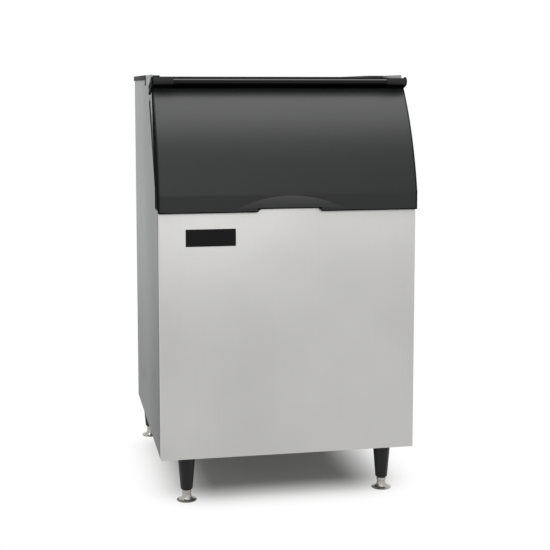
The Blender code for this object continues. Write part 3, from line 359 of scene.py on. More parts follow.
    def add(self, *others: "Shape") -> "Shape":
        """Takes other shapes in.

        Args:
            others: Shapes that aren't needed afterwards.

        Returns:
            This shape.
        """
        for other in others:
            loan = bpy.data.meshes.new("loan")
            other.bm.to_mesh(loan)
            other.bm.free()
            self.bm.from_mesh(loan)
            bpy.data.meshes.remove(loan)
        return self

    def round(self, edge: Edge, keep: Optional[EdgeTest] = None) -> "Shape":
        """Rounds sharp edges.

        Args:
            edge: The rounding.
            keep: Test that an edge has to pass as well.

        Returns:
            This shape.
        """
        least = math.radians(edge.angle)
        sharp = [
            item for item in self.bm.edges
            if len(item.link_faces) == 2 and item.calc_face_angle(0) > least
        ]
        chosen = [item for item in sharp if keep is None or keep(item)]
        if chosen:
            bmesh.ops.bevel(
                self.bm, geom=chosen, offset=edge.width, segments=edge.steps, profile=ROUND,
                affect="EDGES", clamp_overlap=True, material=-1,
            )
        return self

    def carve(self, *tools: "Shape") -> "Shape":
        """Cuts other shapes out of this one.

        Args:
            tools: Shapes that aren't needed afterwards.

        Returns:
            This shape.
        """
        held = as_object(self, "held")
        spent = [held]
        for tool in tools:
            step = held.modifiers.new("cut", "BOOLEAN")
            step.operation = "DIFFERENCE"
            step.solver = "EXACT"
            step.object = as_object(tool, "cutter")
            spent.append(step.object)
        graph = bpy.context.evaluated_depsgraph_get()
        cut = bpy.data.meshes.new_from_object(held.evaluated_get(graph))
        self.bm = bmesh.new()
        self.bm.from_mesh(cut)
        bpy.data.meshes.remove(cut)
        for item in spent:
            mesh = item.data
            bpy.data.objects.remove(item)
            bpy.data.meshes.remove(mesh)
        return self.clean(FLAT_CUT)


def joined(shapes: Iterable[Shape]) -> Shape:
    """Makes one shape of several, which aren't needed afterwards."""
    return Shape().add(*shapes)


def as_object(shape: Shape, name: str) -> bpy.types.Object:
    """Turns a shape into an object.

    Args:
        shape: The shape, which is freed.
        name: Name of the object and its mesh.

    Returns:
        The object, linked to the scene.
    """
    mesh = bpy.data.meshes.new(name)
    shape.bm.to_mesh(mesh)
    shape.bm.free()
    item = bpy.data.objects.new(name, mesh)
    bpy.context.scene.collection.objects.link(item)
    return item


class Pen:
    """Draws the edge of a flat section, point by point."""

    def __init__(self, shape: Shape, axis: Axis, start: Point, along: float) -> None:
        """Sets the pen down.

        Args:
            shape: Shape that takes the points.
            axis: Axis that the section is square to.
            start: First point.
            along: Where the section stands on the axis.
        """
        self.shape = shape
        self.axis = axis
        self.along = along
        self.first = shape.bm.verts.new(axis.at(start, along))
        self.tip = self.first

    def line(self, *ends: Point) -> "Pen":
        """Draws straight edges from point to point."""
        for end in ends:
            grown = bmesh.ops.extrude_vert_indiv(self.shape.bm, verts=[self.tip])
            self.tip = grown["verts"][0]
            self.tip.co = self.axis.at(end, self.along)
        return self

    def arc(self, centre: Point, angle: float, steps: int) -> "Pen":
        """Draws an arc about a centre.

        Args:
            centre: Centre of the arc.
            angle: Turn in radians about the section's axis.
            steps: Number of edges.

        Returns:
            This pen.
        """
        made = bmesh.ops.spin(
            self.shape.bm, geom=[self.tip], cent=self.axis.at(centre, self.along),
            axis=self.axis.value, dvec=ORIGIN, angle=angle, steps=steps, use_merge=False,
            use_normal_flip=False, use_duplicate=False,
        )
        self.tip = made["geom_last"][0]
        return self

    def join(self) -> "Pen":
        """Draws the edge back to the start."""
        bmesh.ops.contextual_create(self.shape.bm, geom=[self.tip, self.first])
        return self

    def close(self) -> Shape:
        """Draws back to the start and fills the section.

        Returns:
            The shape that holds it.
        """
        self.join()
        bmesh.ops.contextual_create(self.shape.bm, geom=self.shape.bm.edges[:])
        return self.shape


class Value:
    """A number in a shader, with the arithmetic that the finishes use."""

    def __init__(self, recipe: "Recipe", socket: bpy.types.NodeSocket) -> None:
        """Wraps an output socket.

        Args:
            recipe: Recipe that the socket belongs to.
            socket: The output.
        """
        self.recipe = recipe
        self.socket = socket

    def math(self, operation: str, *others: Union["Value", float], first: bool = True) -> "Value":
        """Adds one Math node.

        Args:
            operation: Name of the operation.
            others: The other numbers.
            first: Whether this value comes first.

        Returns:
            The result.
        """
        numbers = [self, *others] if first else [*others, self]
        feeds = dict(enumerate(numbers))
        node = self.recipe.node("ShaderNodeMath", {"operation": operation}, feeds)
        return Value(self.recipe, node.outputs[0])

    def __add__(self, other: Union["Value", float]) -> "Value":
        """Adds."""
        return self.math("ADD", other)

    def __radd__(self, other: float) -> "Value":
        """Adds to a number."""
        return self.math("ADD", other, first=False)

    def __sub__(self, other: Union["Value", float]) -> "Value":
        """Subtracts."""
        return self.math("SUBTRACT", other)

    def __rsub__(self, other: float) -> "Value":
        """Subtracts from a number."""
        return self.math("SUBTRACT", other, first=False)

    def __mul__(self, other: Union["Value", float]) -> "Value":
        """Multiplies."""
        return self.math("MULTIPLY", other)

    def __rmul__(self, other: float) -> "Value":
        """Multiplies a number."""
        return self.math("MULTIPLY", other, first=False)

    def __pow__(self, other: float) -> "Value":
        """Raises to a power."""
        return self.math("POWER", other)

    def above(self, low: float, high: float) -> "Value":
        """Rises smoothly from 0 at low to 1 at high."""
        settings = {"interpolation_type": "SMOOTHSTEP"}
        feeds = {"Value": self, "From Min": low, "From Max": high}
        node = self.recipe.node("ShaderNodeMapRange", settings, feeds)
        return Value(self.recipe, node.outputs[0])

    def below(self, low: float, high: float) -> "Value":
        """Falls smoothly from 1 at low to 0 at high."""
        return 1.0 - self.above(low, high)


Feed = Union[Value, bpy.types.NodeSocket, float, tuple]
Layers = dict[str, Feed]


class Recipe:
    """Writes the nodes of one material or of the surroundings."""

    def __init__(self, owner: Union[bpy.types.Material, bpy.types.World]) -> None:
        """Starts with no nodes.

        Args:
            owner: What the nodes belong to.
        """
        self.owner = owner
        owner.use_nodes = True
        self.tree = owner.node_tree
        self.tree.nodes.clear()

    @cached_property
    def place(self) -> bpy.types.NodeSocket:
        """Place in the object's own frame."""
        return self.node("ShaderNodeTexCoord").outputs["Object"]

    def node(
        self, kind: str, settings: Optional[dict] = None, feeds: Optional[dict] = None,
    ) -> bpy.types.Node:
        """Adds a node.

        Args:
            kind: Type of the node.
            settings: Its own settings.
            feeds: Values or links of its inputs, by name or number.

        Returns:
            The node.
        """
        made = self.tree.nodes.new(kind)
        for key, value in (settings or {}).items():
            setattr(made, key, value)
        for key, value in (feeds or {}).items():
            source = value.socket if isinstance(value, Value) else value
            if isinstance(source, bpy.types.NodeSocket):
                self.tree.links.new(source, made.inputs[key])
            else:
                made.inputs[key].default_value = source
        return made

    def stretched(self, scale: Place) -> bpy.types.NodeSocket:
        """Scales the place differently along each axis."""
        feeds = {"Vector": self.place, "Scale": scale}
        return self.node("ShaderNodeMapping", None, feeds).outputs[0]

    def noise(
        self, scale: float, detail: float = 2.0, rough: float = 0.5, at: Optional[Feed] = None,
    ) -> Value:
        """Adds cloudy noise.

        Args:
            scale: Repeats in a metre.
            detail: Finer layers.
            rough: Weight of the finer layers.
            at: Place that it reads, if not the object's own.

        Returns:
            A value about 0.5.
        """
        feeds = {
            "Vector": at or self.place, "Scale": scale, "Detail": detail, "Roughness": rough,
        }
        return Value(self, self.node("ShaderNodeTexNoise", None, feeds).outputs[0])

    def cells(self, scale: float, feature: str = "F1", at: Optional[Feed] = None) -> Value:
        """Adds a cell pattern.

        Args:
            scale: Cells in a metre.
            feature: What is measured in each cell.
            at: Place that it reads, if not the object's own.

        Returns:
            The distance.
        """
        feeds = {"Vector": at or self.place, "Scale": scale}
        node = self.node("ShaderNodeTexVoronoi", {"feature": feature}, feeds)
        return Value(self, node.outputs["Distance"])

    def axis_of(self, name: str) -> Value:
        """Gives one coordinate, X, Y or Z, in metres."""
        node = self.node("ShaderNodeSeparateXYZ", None, {0: self.place})
        return Value(self, node.outputs[name])

    def blend(self, factor: Feed, first: Feed, second: Feed) -> bpy.types.NodeSocket:
        """Mixes two colours.

        Args:
            factor: Share of the second colour.
            first: A colour or link.
            second: A colour or link.

        Returns:
            The mixed colour.
        """
        settings = {"data_type": "RGBA", "clamp_factor": True}
        feeds: dict = {0: factor}
        for number, colour in zip(MIX_COLOURS, (first, second)):
            feeds[number] = (*colour, 1.0) if isinstance(colour, tuple) else colour
        return self.node("ShaderNodeMix", settings, feeds).outputs[MIX_RESULT]

    def bump(
        self, height: Value, distance: float, strength: float = 1.0, under: Optional[Feed] = None,
    ) -> Feed:
        """Turns a height into a surface direction.

        Args:
            height: Height from 0 to 1.
            distance: What a height of 1 measures, in metres.
            strength: Share of the effect.
            under: Surface direction that it lies on.

        Returns:
            The direction.
        """
        feeds: dict = {"Strength": strength, "Distance": distance, "Height": height}
        if under is not None:
            feeds["Normal"] = under
        return self.node("ShaderNodeBump", None, feeds).outputs[0]

    def surface(self, varying: dict, fixed: Optional[dict] = None) -> bpy.types.NodeSocket:
        """Adds a surface shader.

        Args:
            varying: Links by socket name.
            fixed: Numbers by socket name.

        Returns:
            The shader's output.
        """
        feeds = {**(fixed or {}), **varying}
        return self.node("ShaderNodeBsdfPrincipled", None, feeds).outputs[0]

    def mixed(
        self, share: Value, first: bpy.types.NodeSocket, second: bpy.types.NodeSocket,
    ) -> bpy.types.NodeSocket:
        """Mixes two surfaces.

        Args:
            share: Share of the second surface.
            first: A shader's output.
            second: A shader's output.

        Returns:
            The mixed surface.
        """
        return self.node("ShaderNodeMixShader", None, {0: share, 1: first, 2: second}).outputs[0]

    def close(self, surface: bpy.types.NodeSocket) -> bpy.types.Material:
        """Closes the recipe with its surface and gives the material."""
        self.node("ShaderNodeOutputMaterial", None, {"Surface": surface})
        return self.owner


def shade(colour: Colour, factor: float) -> Colour:
    """Scales a colour.

    Args:
        colour: Linear colour.
        factor: What it is multiplied by.

    Returns:
        The scaled colour, kept within 0 and 1.
    """
    return tuple(min(max(channel * factor, 0.0), 1.0) for channel in colour)


class Grain(Enum):
    """Way that a sheet's brushing runs, as repeats in a metre along each axis."""

    UPRIGHT = (1500.0, 1500.0, 7.0)
    DEEP = (1500.0, 7.0, 1500.0)


@dataclass(frozen=True)
class Finish:
    """A surface finish: a material and the record's slot that it stands for."""

    name: str
    slot: str
    colour: Colour
    rough: float

    def material(self) -> bpy.types.Material:
        """Gives the material, made once."""
        known = bpy.data.materials.get(self.name)
        return known if known else self.make(Recipe(bpy.data.materials.new(self.name)))

    def fixed(self) -> dict[str, float]:
        """Gives the constants of its surface shader by socket name."""
        return {"Metallic": 0.0}

    def layers(self, recipe: Recipe) -> Layers:
        """Writes the nodes of its colour, roughness and surface direction.

        Args:
            recipe: Recipe that takes the nodes.

        Returns:
            What goes into the surface shader, by socket name.
        """
        raise NotImplementedError

    def make(self, recipe: Recipe) -> bpy.types.Material:
        """Writes the material's nodes."""
        return recipe.close(recipe.surface(self.layers(recipe), self.fixed()))


@dataclass(frozen=True)
class BrushedSteel(Finish):
    """Sheet steel with fine brushing lines, soft cloudy tone and faint handling marks.

    Its colour is darkened as painted shade by the share called fall towards its foot, over a range
    of heights, and by the share called corner towards the front fold, over a range of depths.
    """

    grain: Grain = Grain.UPRIGHT
    cloud: float = 0.05
    # Share of painted shade towards the foot.
    fall: float = 0.0
    foot_shade_range: Point = (0.2, 0.85)
    # Share of painted shade towards the front fold.
    corner: float = 0.0
    front_shade_range: Point = (0.01, 0.07)

    def fixed(self) -> dict[str, float]:
        """Gives the constants of its surface shader by socket name."""
        return {"Metallic": 1.0, "Anisotropic": 0.3}

    def layers(self, recipe: Recipe) -> Layers:
        """Writes the brushing, the tone, the marks and the painted shade."""
        streak = recipe.noise(1.0, detail=3.0, rough=0.6, at=recipe.stretched(self.grain.value))
        wide = tuple(0.22 * part for part in self.grain.value)
        coarse = recipe.noise(1.0, detail=2.0, rough=0.5, at=recipe.stretched(wide))
        cloud = recipe.noise(2.6, detail=2.0, rough=0.45)
        smudge = recipe.noise(13.0, detail=4.0, rough=0.55).above(0.56, 0.74)
        upright = recipe.stretched((1.0, 1.0, 0.05))
        nick = recipe.cells(38.0, "DISTANCE_TO_EDGE", upright).below(0.0, 0.012)
        sparse = recipe.noise(5.0, detail=1.0).above(0.58, 0.66)
        tone = 0.78 * cloud + 0.13 * coarse + 0.09 * streak
        darker = shade(self.colour, 1.0 - self.cloud)
        lighter = shade(self.colour, 1.0 + self.cloud)
        colour = recipe.blend(tone.above(0.3, 0.7), darker, lighter)
        colour = recipe.blend(0.05 * smudge, colour, shade(self.colour, 0.86))
        colour = recipe.blend(0.10 * nick * sparse, colour, shade(self.colour, 1.25))
        # Painted shade: the colour darkens towards the foot.
        foot = recipe.axis_of("Z").below(*self.foot_shade_range)
        colour = recipe.blend(self.fall * foot, colour, DARK)
        # Painted shade: the colour darkens towards the front fold.
        near, far = (SIZES.front_y + depth for depth in self.front_shade_range)
        fold = recipe.axis_of("Y").below(near, far)
        colour = recipe.blend(self.corner * fold, colour, DARK)
        rough = self.rough + 0.05 * (streak - 0.5) + 0.03 * (coarse - 0.5) + 0.05 * smudge
        normal = recipe.bump(recipe.noise(2.1, detail=1.0), 0.0016, 0.5)
        normal = recipe.bump(streak, 0.000012, 0.6, normal)
        return {"Base Color": colour, "Roughness": rough, "Normal": normal}


@dataclass(frozen=True)
class ZincPlate(Finish):
    """Zinc-coated sheet with its crystal spangle and a few rub marks."""

    spangle: float = 130.0

    def fixed(self) -> dict[str, float]:
        """Gives the constants of its surface shader by socket name."""
        return {"Metallic": 0.9}

    def layers(self, recipe: Recipe) -> Layers:
        """Writes the crystals and the rub marks."""
        feeds = {"Vector": recipe.place, "Scale": self.spangle}
        crystal = recipe.node("ShaderNodeTexVoronoi", {"feature": "F1"}, feeds).outputs["Color"]
        split = recipe.node("ShaderNodeSeparateColor", None, {0: crystal})
        flake = Value(recipe, split.outputs[0])
        edge = recipe.cells(self.spangle, "DISTANCE_TO_EDGE").below(0.0, 0.08)
        dull = recipe.noise(9.0, detail=3.0).above(0.45, 0.7)
        colour = recipe.blend(flake, shade(self.colour, 0.86), shade(self.colour, 1.14))
        colour = recipe.blend(0.25 * edge, colour, shade(self.colour, 0.7))
        colour = recipe.blend(0.22 * dull, colour, shade(self.colour, 1.25))
        rough = self.rough + 0.16 * (flake - 0.5) + 0.12 * dull
        normal = recipe.bump(flake, 0.00008, 0.35)
        normal = recipe.bump(recipe.noise(900.0, detail=2.0), 0.00002, 0.3, normal)
        return {"Base Color": colour, "Roughness": rough, "Normal": normal}


@dataclass(frozen=True)
class MouldedPlastic(Finish):
    """Moulded plastic with a pebbled grain, soft tone changes and light scuffs."""

    pebble: float = 0.0022
    depth: float = 0.00012
    shine: float = 0.4
    scuff: float = 0.12

    def fixed(self) -> dict[str, float]:
        """Gives the constants of its surface shader by socket name."""
        return {"Metallic": 0.0, "Specular IOR Level": self.shine}

    def layers(self, recipe: Recipe) -> Layers:
        """Writes the grain, the tone and the scuffs."""
        feeds = {"Vector": recipe.place, "Scale": 0.4 / self.pebble}
        drift = recipe.node("ShaderNodeTexNoise", None, feeds).outputs["Color"]
        warp = recipe.node(
            "ShaderNodeVectorMath", {"operation": "MULTIPLY_ADD"},
            {0: drift, 1: (self.pebble, self.pebble, self.pebble), 2: recipe.place},
        )
        pebble = recipe.cells(1.0 / self.pebble, "SMOOTH_F1", warp.outputs[0])
        fine = recipe.noise(3.2 / self.pebble, detail=2.0, rough=0.5)
        cloud = recipe.noise(4.0, detail=3.0)
        patch = recipe.noise(0.16 / self.pebble, detail=2.0)
        mark = recipe.noise(22.0, detail=5.0, rough=0.6).above(0.6, 0.78)
        tone = 0.45 * pebble.below(0.1, 0.7) + 0.25 * fine + 0.2 * patch + 0.1 * cloud
        colour = recipe.blend(tone, shade(self.colour, 0.7), shade(self.colour, 1.35))
        colour = recipe.blend(self.scuff * mark, colour, shade(self.colour, 1.9))
        rough = self.rough + 0.10 * (fine - 0.5) + 0.07 * (cloud - 0.5) + 0.05 * mark
        normal = recipe.bump(1.0 - pebble, self.depth, 0.8)
        normal = recipe.bump(fine, self.depth / 3.0, 0.6, normal)
        return {"Base Color": colour, "Roughness": rough, "Normal": normal}

    def matt(
        self, recipe: Recipe, layers: Layers, dark: float, shine: float,
    ) -> bpy.types.NodeSocket:
        """Adds a matt, darker surface of the same plastic.

        Args:
            recipe: Recipe that takes the nodes.
            layers: Colour and surface direction by socket name.
            dark: How much darker it is.
            shine: Strength of its reflection.

        Returns:
            The shader's output.
        """
        colour = recipe.blend(dark, layers["Base Color"], DARK)
        return recipe.surface(
            {"Base Color": colour, "Normal": layers["Normal"]},
            {"Metallic": 0.0, "Roughness": 0.95, "Specular IOR Level": shine},
        )


@dataclass(frozen=True)
class DoorPlastic(MouldedPlastic):
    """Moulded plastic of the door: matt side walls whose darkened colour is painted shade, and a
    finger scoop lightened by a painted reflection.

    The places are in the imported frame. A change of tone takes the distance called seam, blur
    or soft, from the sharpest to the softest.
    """

    edge: float = 0.383
    scoop_low: float = 0.8715
    scoop_high: float = 0.912
    scoop_reach: float = 0.2
    scoop_front: float = -0.3999
    # Colour of the painted reflection in the finger scoop.
    scoop_reflection: Colour = (0.085, 0.086, 0.088)
    foot: float = 0.863
    notch: float = 0.0935
    notch_top: float = 0.8715
    lip: float = 0.0024
    band: float = 0.0048
    corner: float = 0.0013
    matt_range: Point = (1.186, 1.212)
    seam: float = 0.0003
    blur: float = 0.0008
    soft: float = 0.002
    reach_fade: float = 0.01

    def make(self, recipe: Recipe) -> bpy.types.Material:
        """Writes the material's nodes."""
        layers = self.layers(recipe)
        across = recipe.axis_of("X").math("ABSOLUTE")
        height = recipe.axis_of("Z")
        # Painted reflection: held is the share that lightens the finger scoop, rising towards its
        # top.
        behind = recipe.axis_of("Y").above(self.scoop_front, self.scoop_front + self.seam)
        held = behind * height.below(self.scoop_high, self.scoop_high + self.soft)
        held = held * across.below(self.scoop_reach, self.scoop_reach + self.reach_fade)
        reflection_rise = height.above(self.scoop_low, self.scoop_high + 2 * self.soft)
        held = held * (0.22 + 0.78 * reflection_rise)
        layers["Base Color"] = recipe.blend(held, layers["Base Color"], self.scoop_reflection)
        layers["Roughness"] = layers["Roughness"] + 0.34 * height.above(*self.matt_range)
        face = recipe.surface(layers, self.fixed())
        # The side surface is a matt finish, and its colour darkened by 0.6 is painted shade on the
        # side walls, turned edges, skirt underside and notch roof.
        side = self.matt(recipe, layers, 0.6, 0.01)
        turned = self.edge - self.band
        share = 0.6 * across.above(turned - self.blur, turned)
        share = share + across.above(self.edge - self.corner, self.edge - self.seam)
        skirt = self.foot + self.lip
        share = share + height.below(skirt, skirt + self.blur)
        roof = self.notch_top + self.lip
        cut = height.below(roof, roof + self.blur)
        cut = cut * across.below(self.notch, self.notch + self.soft)
        share = (share + cut).math("MINIMUM", 1.0)
        return recipe.close(recipe.mixed(share, face, side))


@dataclass(frozen=True)
class RailPlastic(MouldedPlastic):
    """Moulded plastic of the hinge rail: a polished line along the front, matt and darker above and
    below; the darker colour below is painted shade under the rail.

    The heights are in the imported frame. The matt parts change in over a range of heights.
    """

    line_low: float = 1.2423
    line_high: float = 1.2457
    seam: float = 0.0003
    under: Point = (1.2292, 1.2304)
    crown: Point = (1.2464, 1.2468)
    gloss: float = 0.55

    def make(self, recipe: Recipe) -> bpy.types.Material:
        """Writes the material's nodes."""
        layers = self.layers(recipe)
        height = recipe.axis_of("Z")
        line = height.above(self.line_low, self.line_low + self.seam)
        line = line * height.below(self.line_high, self.line_high + self.seam)
        front = recipe.surface(
            {**layers, "Coat Weight": self.gloss * line}, {**self.fixed(), "Coat Roughness": 0.12},
        )
        # The underside takes the matt, darkened surface as painted shade; the crown takes most of
        # it too.
        share = height.below(*self.under) + 0.85 * height.above(*self.crown)
        return recipe.close(recipe.mixed(share, front, self.matt(recipe, layers, 0.7, 0.04)))


@dataclass(frozen=True)
class SheetPlastic(Finish):
    """Smooth formed plastic with a faint ripple, haze and fine scratches."""

    coat: float = 0.1
    wear: float = 0.05
    shine: float = 0.45

    def fixed(self) -> dict[str, float]:
        """Gives the constants of its surface shader by socket name."""
        return {
            "Metallic": 0.0, "Coat Weight": self.coat, "Coat Roughness": 0.2,
            "Specular IOR Level": self.shine,
        }

    def layers(self, recipe: Recipe) -> Layers:
        """Writes the tone, the haze and the scratches."""
        cloud = recipe.noise(3.5, detail=3.0)
        haze = recipe.noise(17.0, detail=4.0, rough=0.6).above(0.5, 0.8)
        upright = recipe.stretched((1.0, 1.0, 0.12))
        line = recipe.cells(60.0, "DISTANCE_TO_EDGE", upright).below(0.0, 0.02)
        fine = recipe.noise(1400.0, detail=2.0)
        colour = recipe.blend(cloud, shade(self.colour, 0.955), shade(self.colour, 1.03))
        colour = recipe.blend(self.wear * haze, colour, shade(self.colour, 0.8))
        colour = recipe.blend(self.wear * line * haze, colour, shade(self.colour, 0.7))
        rough = self.rough + 0.10 * (cloud - 0.5) + 0.10 * haze + 0.05 * (fine - 0.5)
        normal = recipe.bump(recipe.noise(11.0, detail=1.0), 0.0004, 0.35)
        normal = recipe.bump(fine, 0.00001, 0.4, normal)
        return {"Base Color": colour, "Roughness": rough, "Normal": normal}


@dataclass(frozen=True)
class PanPlastic(SheetPlastic):
    """Formed sheet of the door's pan. Its sides are darkened as painted shade that lightens to a
    painted highlight towards the top, and a black band beside its seat is painted shadow.
    """

    # band and groove: the sides turn black as painted shadow within band of the seat. side and
    # flank_highlight: painted shade low on the sides, lightening to a painted highlight at their
    # top.
    band: float = 0.034
    side: Colour = (0.14, 0.143, 0.145)
    flank_highlight: Colour = (0.55, 0.555, 0.56)
    flank_highlight_range: Point = (0.92, 1.1)
    flank: Point = (0.0012, 0.0006)
    fade: float = 0.001
    groove: Colour = (0.006, 0.006, 0.006)

    def layers(self, recipe: Recipe) -> Layers:
        """Writes the sheet's own layers, with the painted shade, highlight and shadow of the sides
        over them.
        """
        layers = super().layers(recipe)
        low = SIZES.seat_depth(0.0) + SIZES.front_y
        seat = recipe.axis_of("Z") * math.tan(SIZES.slant) + low
        stand = (seat - recipe.axis_of("Y")) * math.cos(SIZES.slant)
        near, far = (box_of("door_pan")[1].x - inset for inset in self.flank)
        flank = recipe.axis_of("X").math("ABSOLUTE").above(near, far)
        # Painted shade and highlight up the sides, then painted shadow beside the seat.
        up = recipe.axis_of("Z").above(*self.flank_highlight_range)
        side = recipe.blend(up, self.side, self.flank_highlight)
        dark = recipe.blend(stand.below(self.band, self.band + self.fade), side, self.groove)
        layers["Base Color"] = recipe.blend(flank, layers["Base Color"], dark)
        return layers


@dataclass(frozen=True)
class Foam(Finish):
    """Rigid foam: small closed cells, a few open ones and a yellowed tone."""

    def layers(self, recipe: Recipe) -> Layers:
        """Writes the cells and the tone."""
        cell = recipe.cells(700.0, "F1")
        hole = recipe.cells(160.0, "F1").below(0.10, 0.22)
        age = recipe.noise(6.0, detail=3.0)
        colour = recipe.blend(age, shade(self.colour, 0.82), shade(self.colour, 1.08))
        colour = recipe.blend(0.5 * hole, colour, shade(self.colour, 0.45))
        colour = recipe.blend(0.25 * cell.above(0.3, 0.8), colour, shade(self.colour, 0.7))
        normal = recipe.bump(hole, -0.0008, 0.8)
        normal = recipe.bump(cell, 0.0003, 0.8, normal)
        rough = self.rough - 0.06 * cell
        return {"Base Color": colour, "Roughness": rough, "Normal": normal}


@dataclass(frozen=True)
class Rubber(Finish):
    """Soft black rubber with bloom and fine texture."""

    def fixed(self) -> dict[str, float]:
        """Gives the constants of its surface shader by socket name."""
        return {"Metallic": 0.0, "Specular IOR Level": 0.3}

    def layers(self, recipe: Recipe) -> Layers:
        """Writes the bloom and the texture."""
        bloom = recipe.noise(18.0, detail=4.0).above(0.4, 0.75)
        fine = recipe.noise(1100.0, detail=3.0)
        colour = recipe.blend(0.5 * bloom, self.colour, shade(self.colour, 2.0))
        colour = recipe.blend(0.3 * fine, colour, shade(self.colour, 0.6))
        rough = self.rough + 0.10 * (fine - 0.5) + 0.06 * bloom
        normal = recipe.bump(fine, 0.00006, 0.6)
        return {"Base Color": colour, "Roughness": rough, "Normal": normal}


@dataclass(frozen=True)
class PlatedMetal(Finish):
    """Turned, plated metal with tool rings, slight tarnish and dark specks."""

    ring: float = 2600.0

    def fixed(self) -> dict[str, float]:
        """Gives the constants of its surface shader by socket name."""
        return {"Metallic": 1.0}

    def layers(self, recipe: Recipe) -> Layers:
        """Writes the rings, the tarnish and the specks."""
        around = recipe.stretched((40.0, 40.0, self.ring))
        ring = recipe.noise(1.0, detail=2.0, rough=0.5, at=around)
        tarnish = recipe.noise(45.0, detail=4.0, rough=0.6).above(0.48, 0.72)
        speck = recipe.noise(420.0, detail=2.0).above(0.66, 0.74)
        colour = recipe.blend(ring, shade(self.colour, 0.93), shade(self.colour, 1.05))
        colour = recipe.blend(0.30 * tarnish, colour, shade(self.colour, 0.62))
        colour = recipe.blend(0.25 * speck, colour, shade(self.colour, 0.4))
        rough = self.rough + 0.08 * (ring - 0.5) + 0.14 * tarnish + 0.1 * speck
        normal = recipe.bump(ring, 0.00001, 0.5)
        return {"Base Color": colour, "Roughness": rough, "Normal": normal}


# The front steel takes painted shade towards its foot by fall.
FRONT_STEEL = BrushedSteel(
    "front sheet steel", "stainless", (0.565, 0.562, 0.553), 0.40, fall=0.12,
)
# The sides are the front's steel with its colour darkened as painted shade, and more painted shade
# towards the foot and the front fold.
SHADED_SIDE_STEEL = BrushedSteel(
    "side sheet steel", "stainless", (0.27, 0.273, 0.276), 0.46, fall=0.5, corner=0.25,
)
# The back is the same steel with the sides' darkened colour, as painted shade.
SHADED_BACK_STEEL = BrushedSteel("back sheet steel", "stainless", (0.27, 0.273, 0.276), 0.46)
INNER_STEEL = BrushedSteel("channel steel", "stainless", (0.25, 0.25, 0.25), 0.50, Grain.DEEP)
ZINC = ZincPlate("zinc sheet", "zinc_plate", (0.50, 0.51, 0.52), 0.42)
BADGE = SheetPlastic(
    "badge plate", "badge_black", (0.004, 0.004, 0.0043), 0.26, coat=0.0, wear=0.3, shine=0.15,
)
FOAM = Foam("rigid foam", "foam", (0.78, 0.70, 0.48), 0.92)
LINER = SheetPlastic("liner sheet", "liner_white", (0.80, 0.81, 0.81), 0.34)
BLACK = DoorPlastic("door plastic", "black_plastic", (0.010, 0.0105, 0.011), 0.34)
TRIM = MouldedPlastic(
    "trim plastic", "black_plastic", (0.005, 0.0052, 0.0054), 0.9,
    pebble=0.0012, depth=0.00005, shine=0.03,
)
RAIL = RailPlastic(
    "rail plastic", "rail_black", (0.004, 0.0042, 0.0044), 0.20,
    pebble=0.0009, depth=0.00001, shine=0.20,
)
CAP = RailPlastic(
    "rail cap plastic", "rail_black", (0.016, 0.0165, 0.0168), 0.60,
    pebble=0.0009, depth=0.00002, shine=0.30, gloss=0.0,
)
GREY = MouldedPlastic(
    "rim plastic", "dark_grey_plastic", (0.038, 0.0395, 0.041), 0.75,
    pebble=0.0012, depth=0.00005, shine=0.18,
)
FITTING = MouldedPlastic(
    "fitting plastic", "dark_grey_plastic", (0.075, 0.078, 0.080), 0.45,
    pebble=0.0009, depth=0.00003, shine=0.45,
)
GASKET = Rubber("gasket rubber", "rubber_black", (0.018, 0.018, 0.019), 0.66)
BRACKET = MouldedPlastic(
    "bracket plastic", "bracket_black", (0.008, 0.0084, 0.0088), 0.9,
    pebble=0.0008, depth=0.00003, shine=0.1,
)
NICKEL = PlatedMetal("bright nickel", "nickel", (0.40, 0.385, 0.36), 0.20)
LEG = MouldedPlastic(
    "leg plastic", "leg_black", (0.010, 0.0104, 0.0108), 0.42,
    pebble=0.0016, depth=0.00004, shine=0.25,
)
PAN = PanPlastic(
    "door pan plastic", "pan_grey", (0.40, 0.41, 0.41), 0.55, coat=0.0, wear=0.1, shine=0.3,
)
NYLON = SheetPlastic("bush nylon", "nylon", (0.72, 0.71, 0.66), 0.45)
BAFFLE = SheetPlastic("baffle sheet", "baffle_plastic", (0.76, 0.79, 0.81), 0.30, coat=0.15)
SCOOP = SheetPlastic("scoop plastic", "scoop_plastic", (0.10, 0.24, 0.45), 0.33, coat=0.15)
STRAINER = PlatedMetal("strainer steel", "strainer_steel", (0.58, 0.58, 0.58), 0.28)


def publish(
    shape: Shape, name: str, finish: Finish, body: str = "cabinet", nodes: Sequence[str] = (),
    smooth: float = 32.0,
) -> None:
    """Finishes a piece: places it, gives it its material and its body, and reports it.

    Args:
        shape: The shape, which is freed.
        name: Name of the piece.
        finish: Its finish.
        body: Body that it moves with.
        nodes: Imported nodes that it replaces.
        smooth: Largest angle in degrees that is shaded as one surface.
    """
    shape.move((0, SIZES.front_y, 0))
    item = as_object(shape, name)
    item.data.materials.append(finish.material())
    item.data.shade_smooth()
    item.data.set_sharp_from_angle(angle=math.radians(smooth))
    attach(item, body)
    if nodes:
        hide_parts(*nodes)
    LOG.info("%s: %d faces on %s", name, len(item.data.polygons), body)


def box_of(node: str) -> tuple[Vector, Vector]:
    """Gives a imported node's lowest and highest corner in the bin's own places."""
    low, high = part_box(node)
    shift = Vector((0, SIZES.front_y, 0))
    return Vector(low) - shift, Vector(high) - shift


def stand_in(
    shape: Shape, node: str, finish: Finish, body: str = "cabinet", smooth: float = 32.0,
) -> None:
    """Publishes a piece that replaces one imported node.

    Args:
        shape: The shape, which is freed.
        node: Name of the node.
        finish: Its finish.
        body: Body that it moves with.
        smooth: Largest angle in degrees that is shaded as one surface.
    """
    publish(shape, f"{node}_fine", finish, body, [node], smooth)


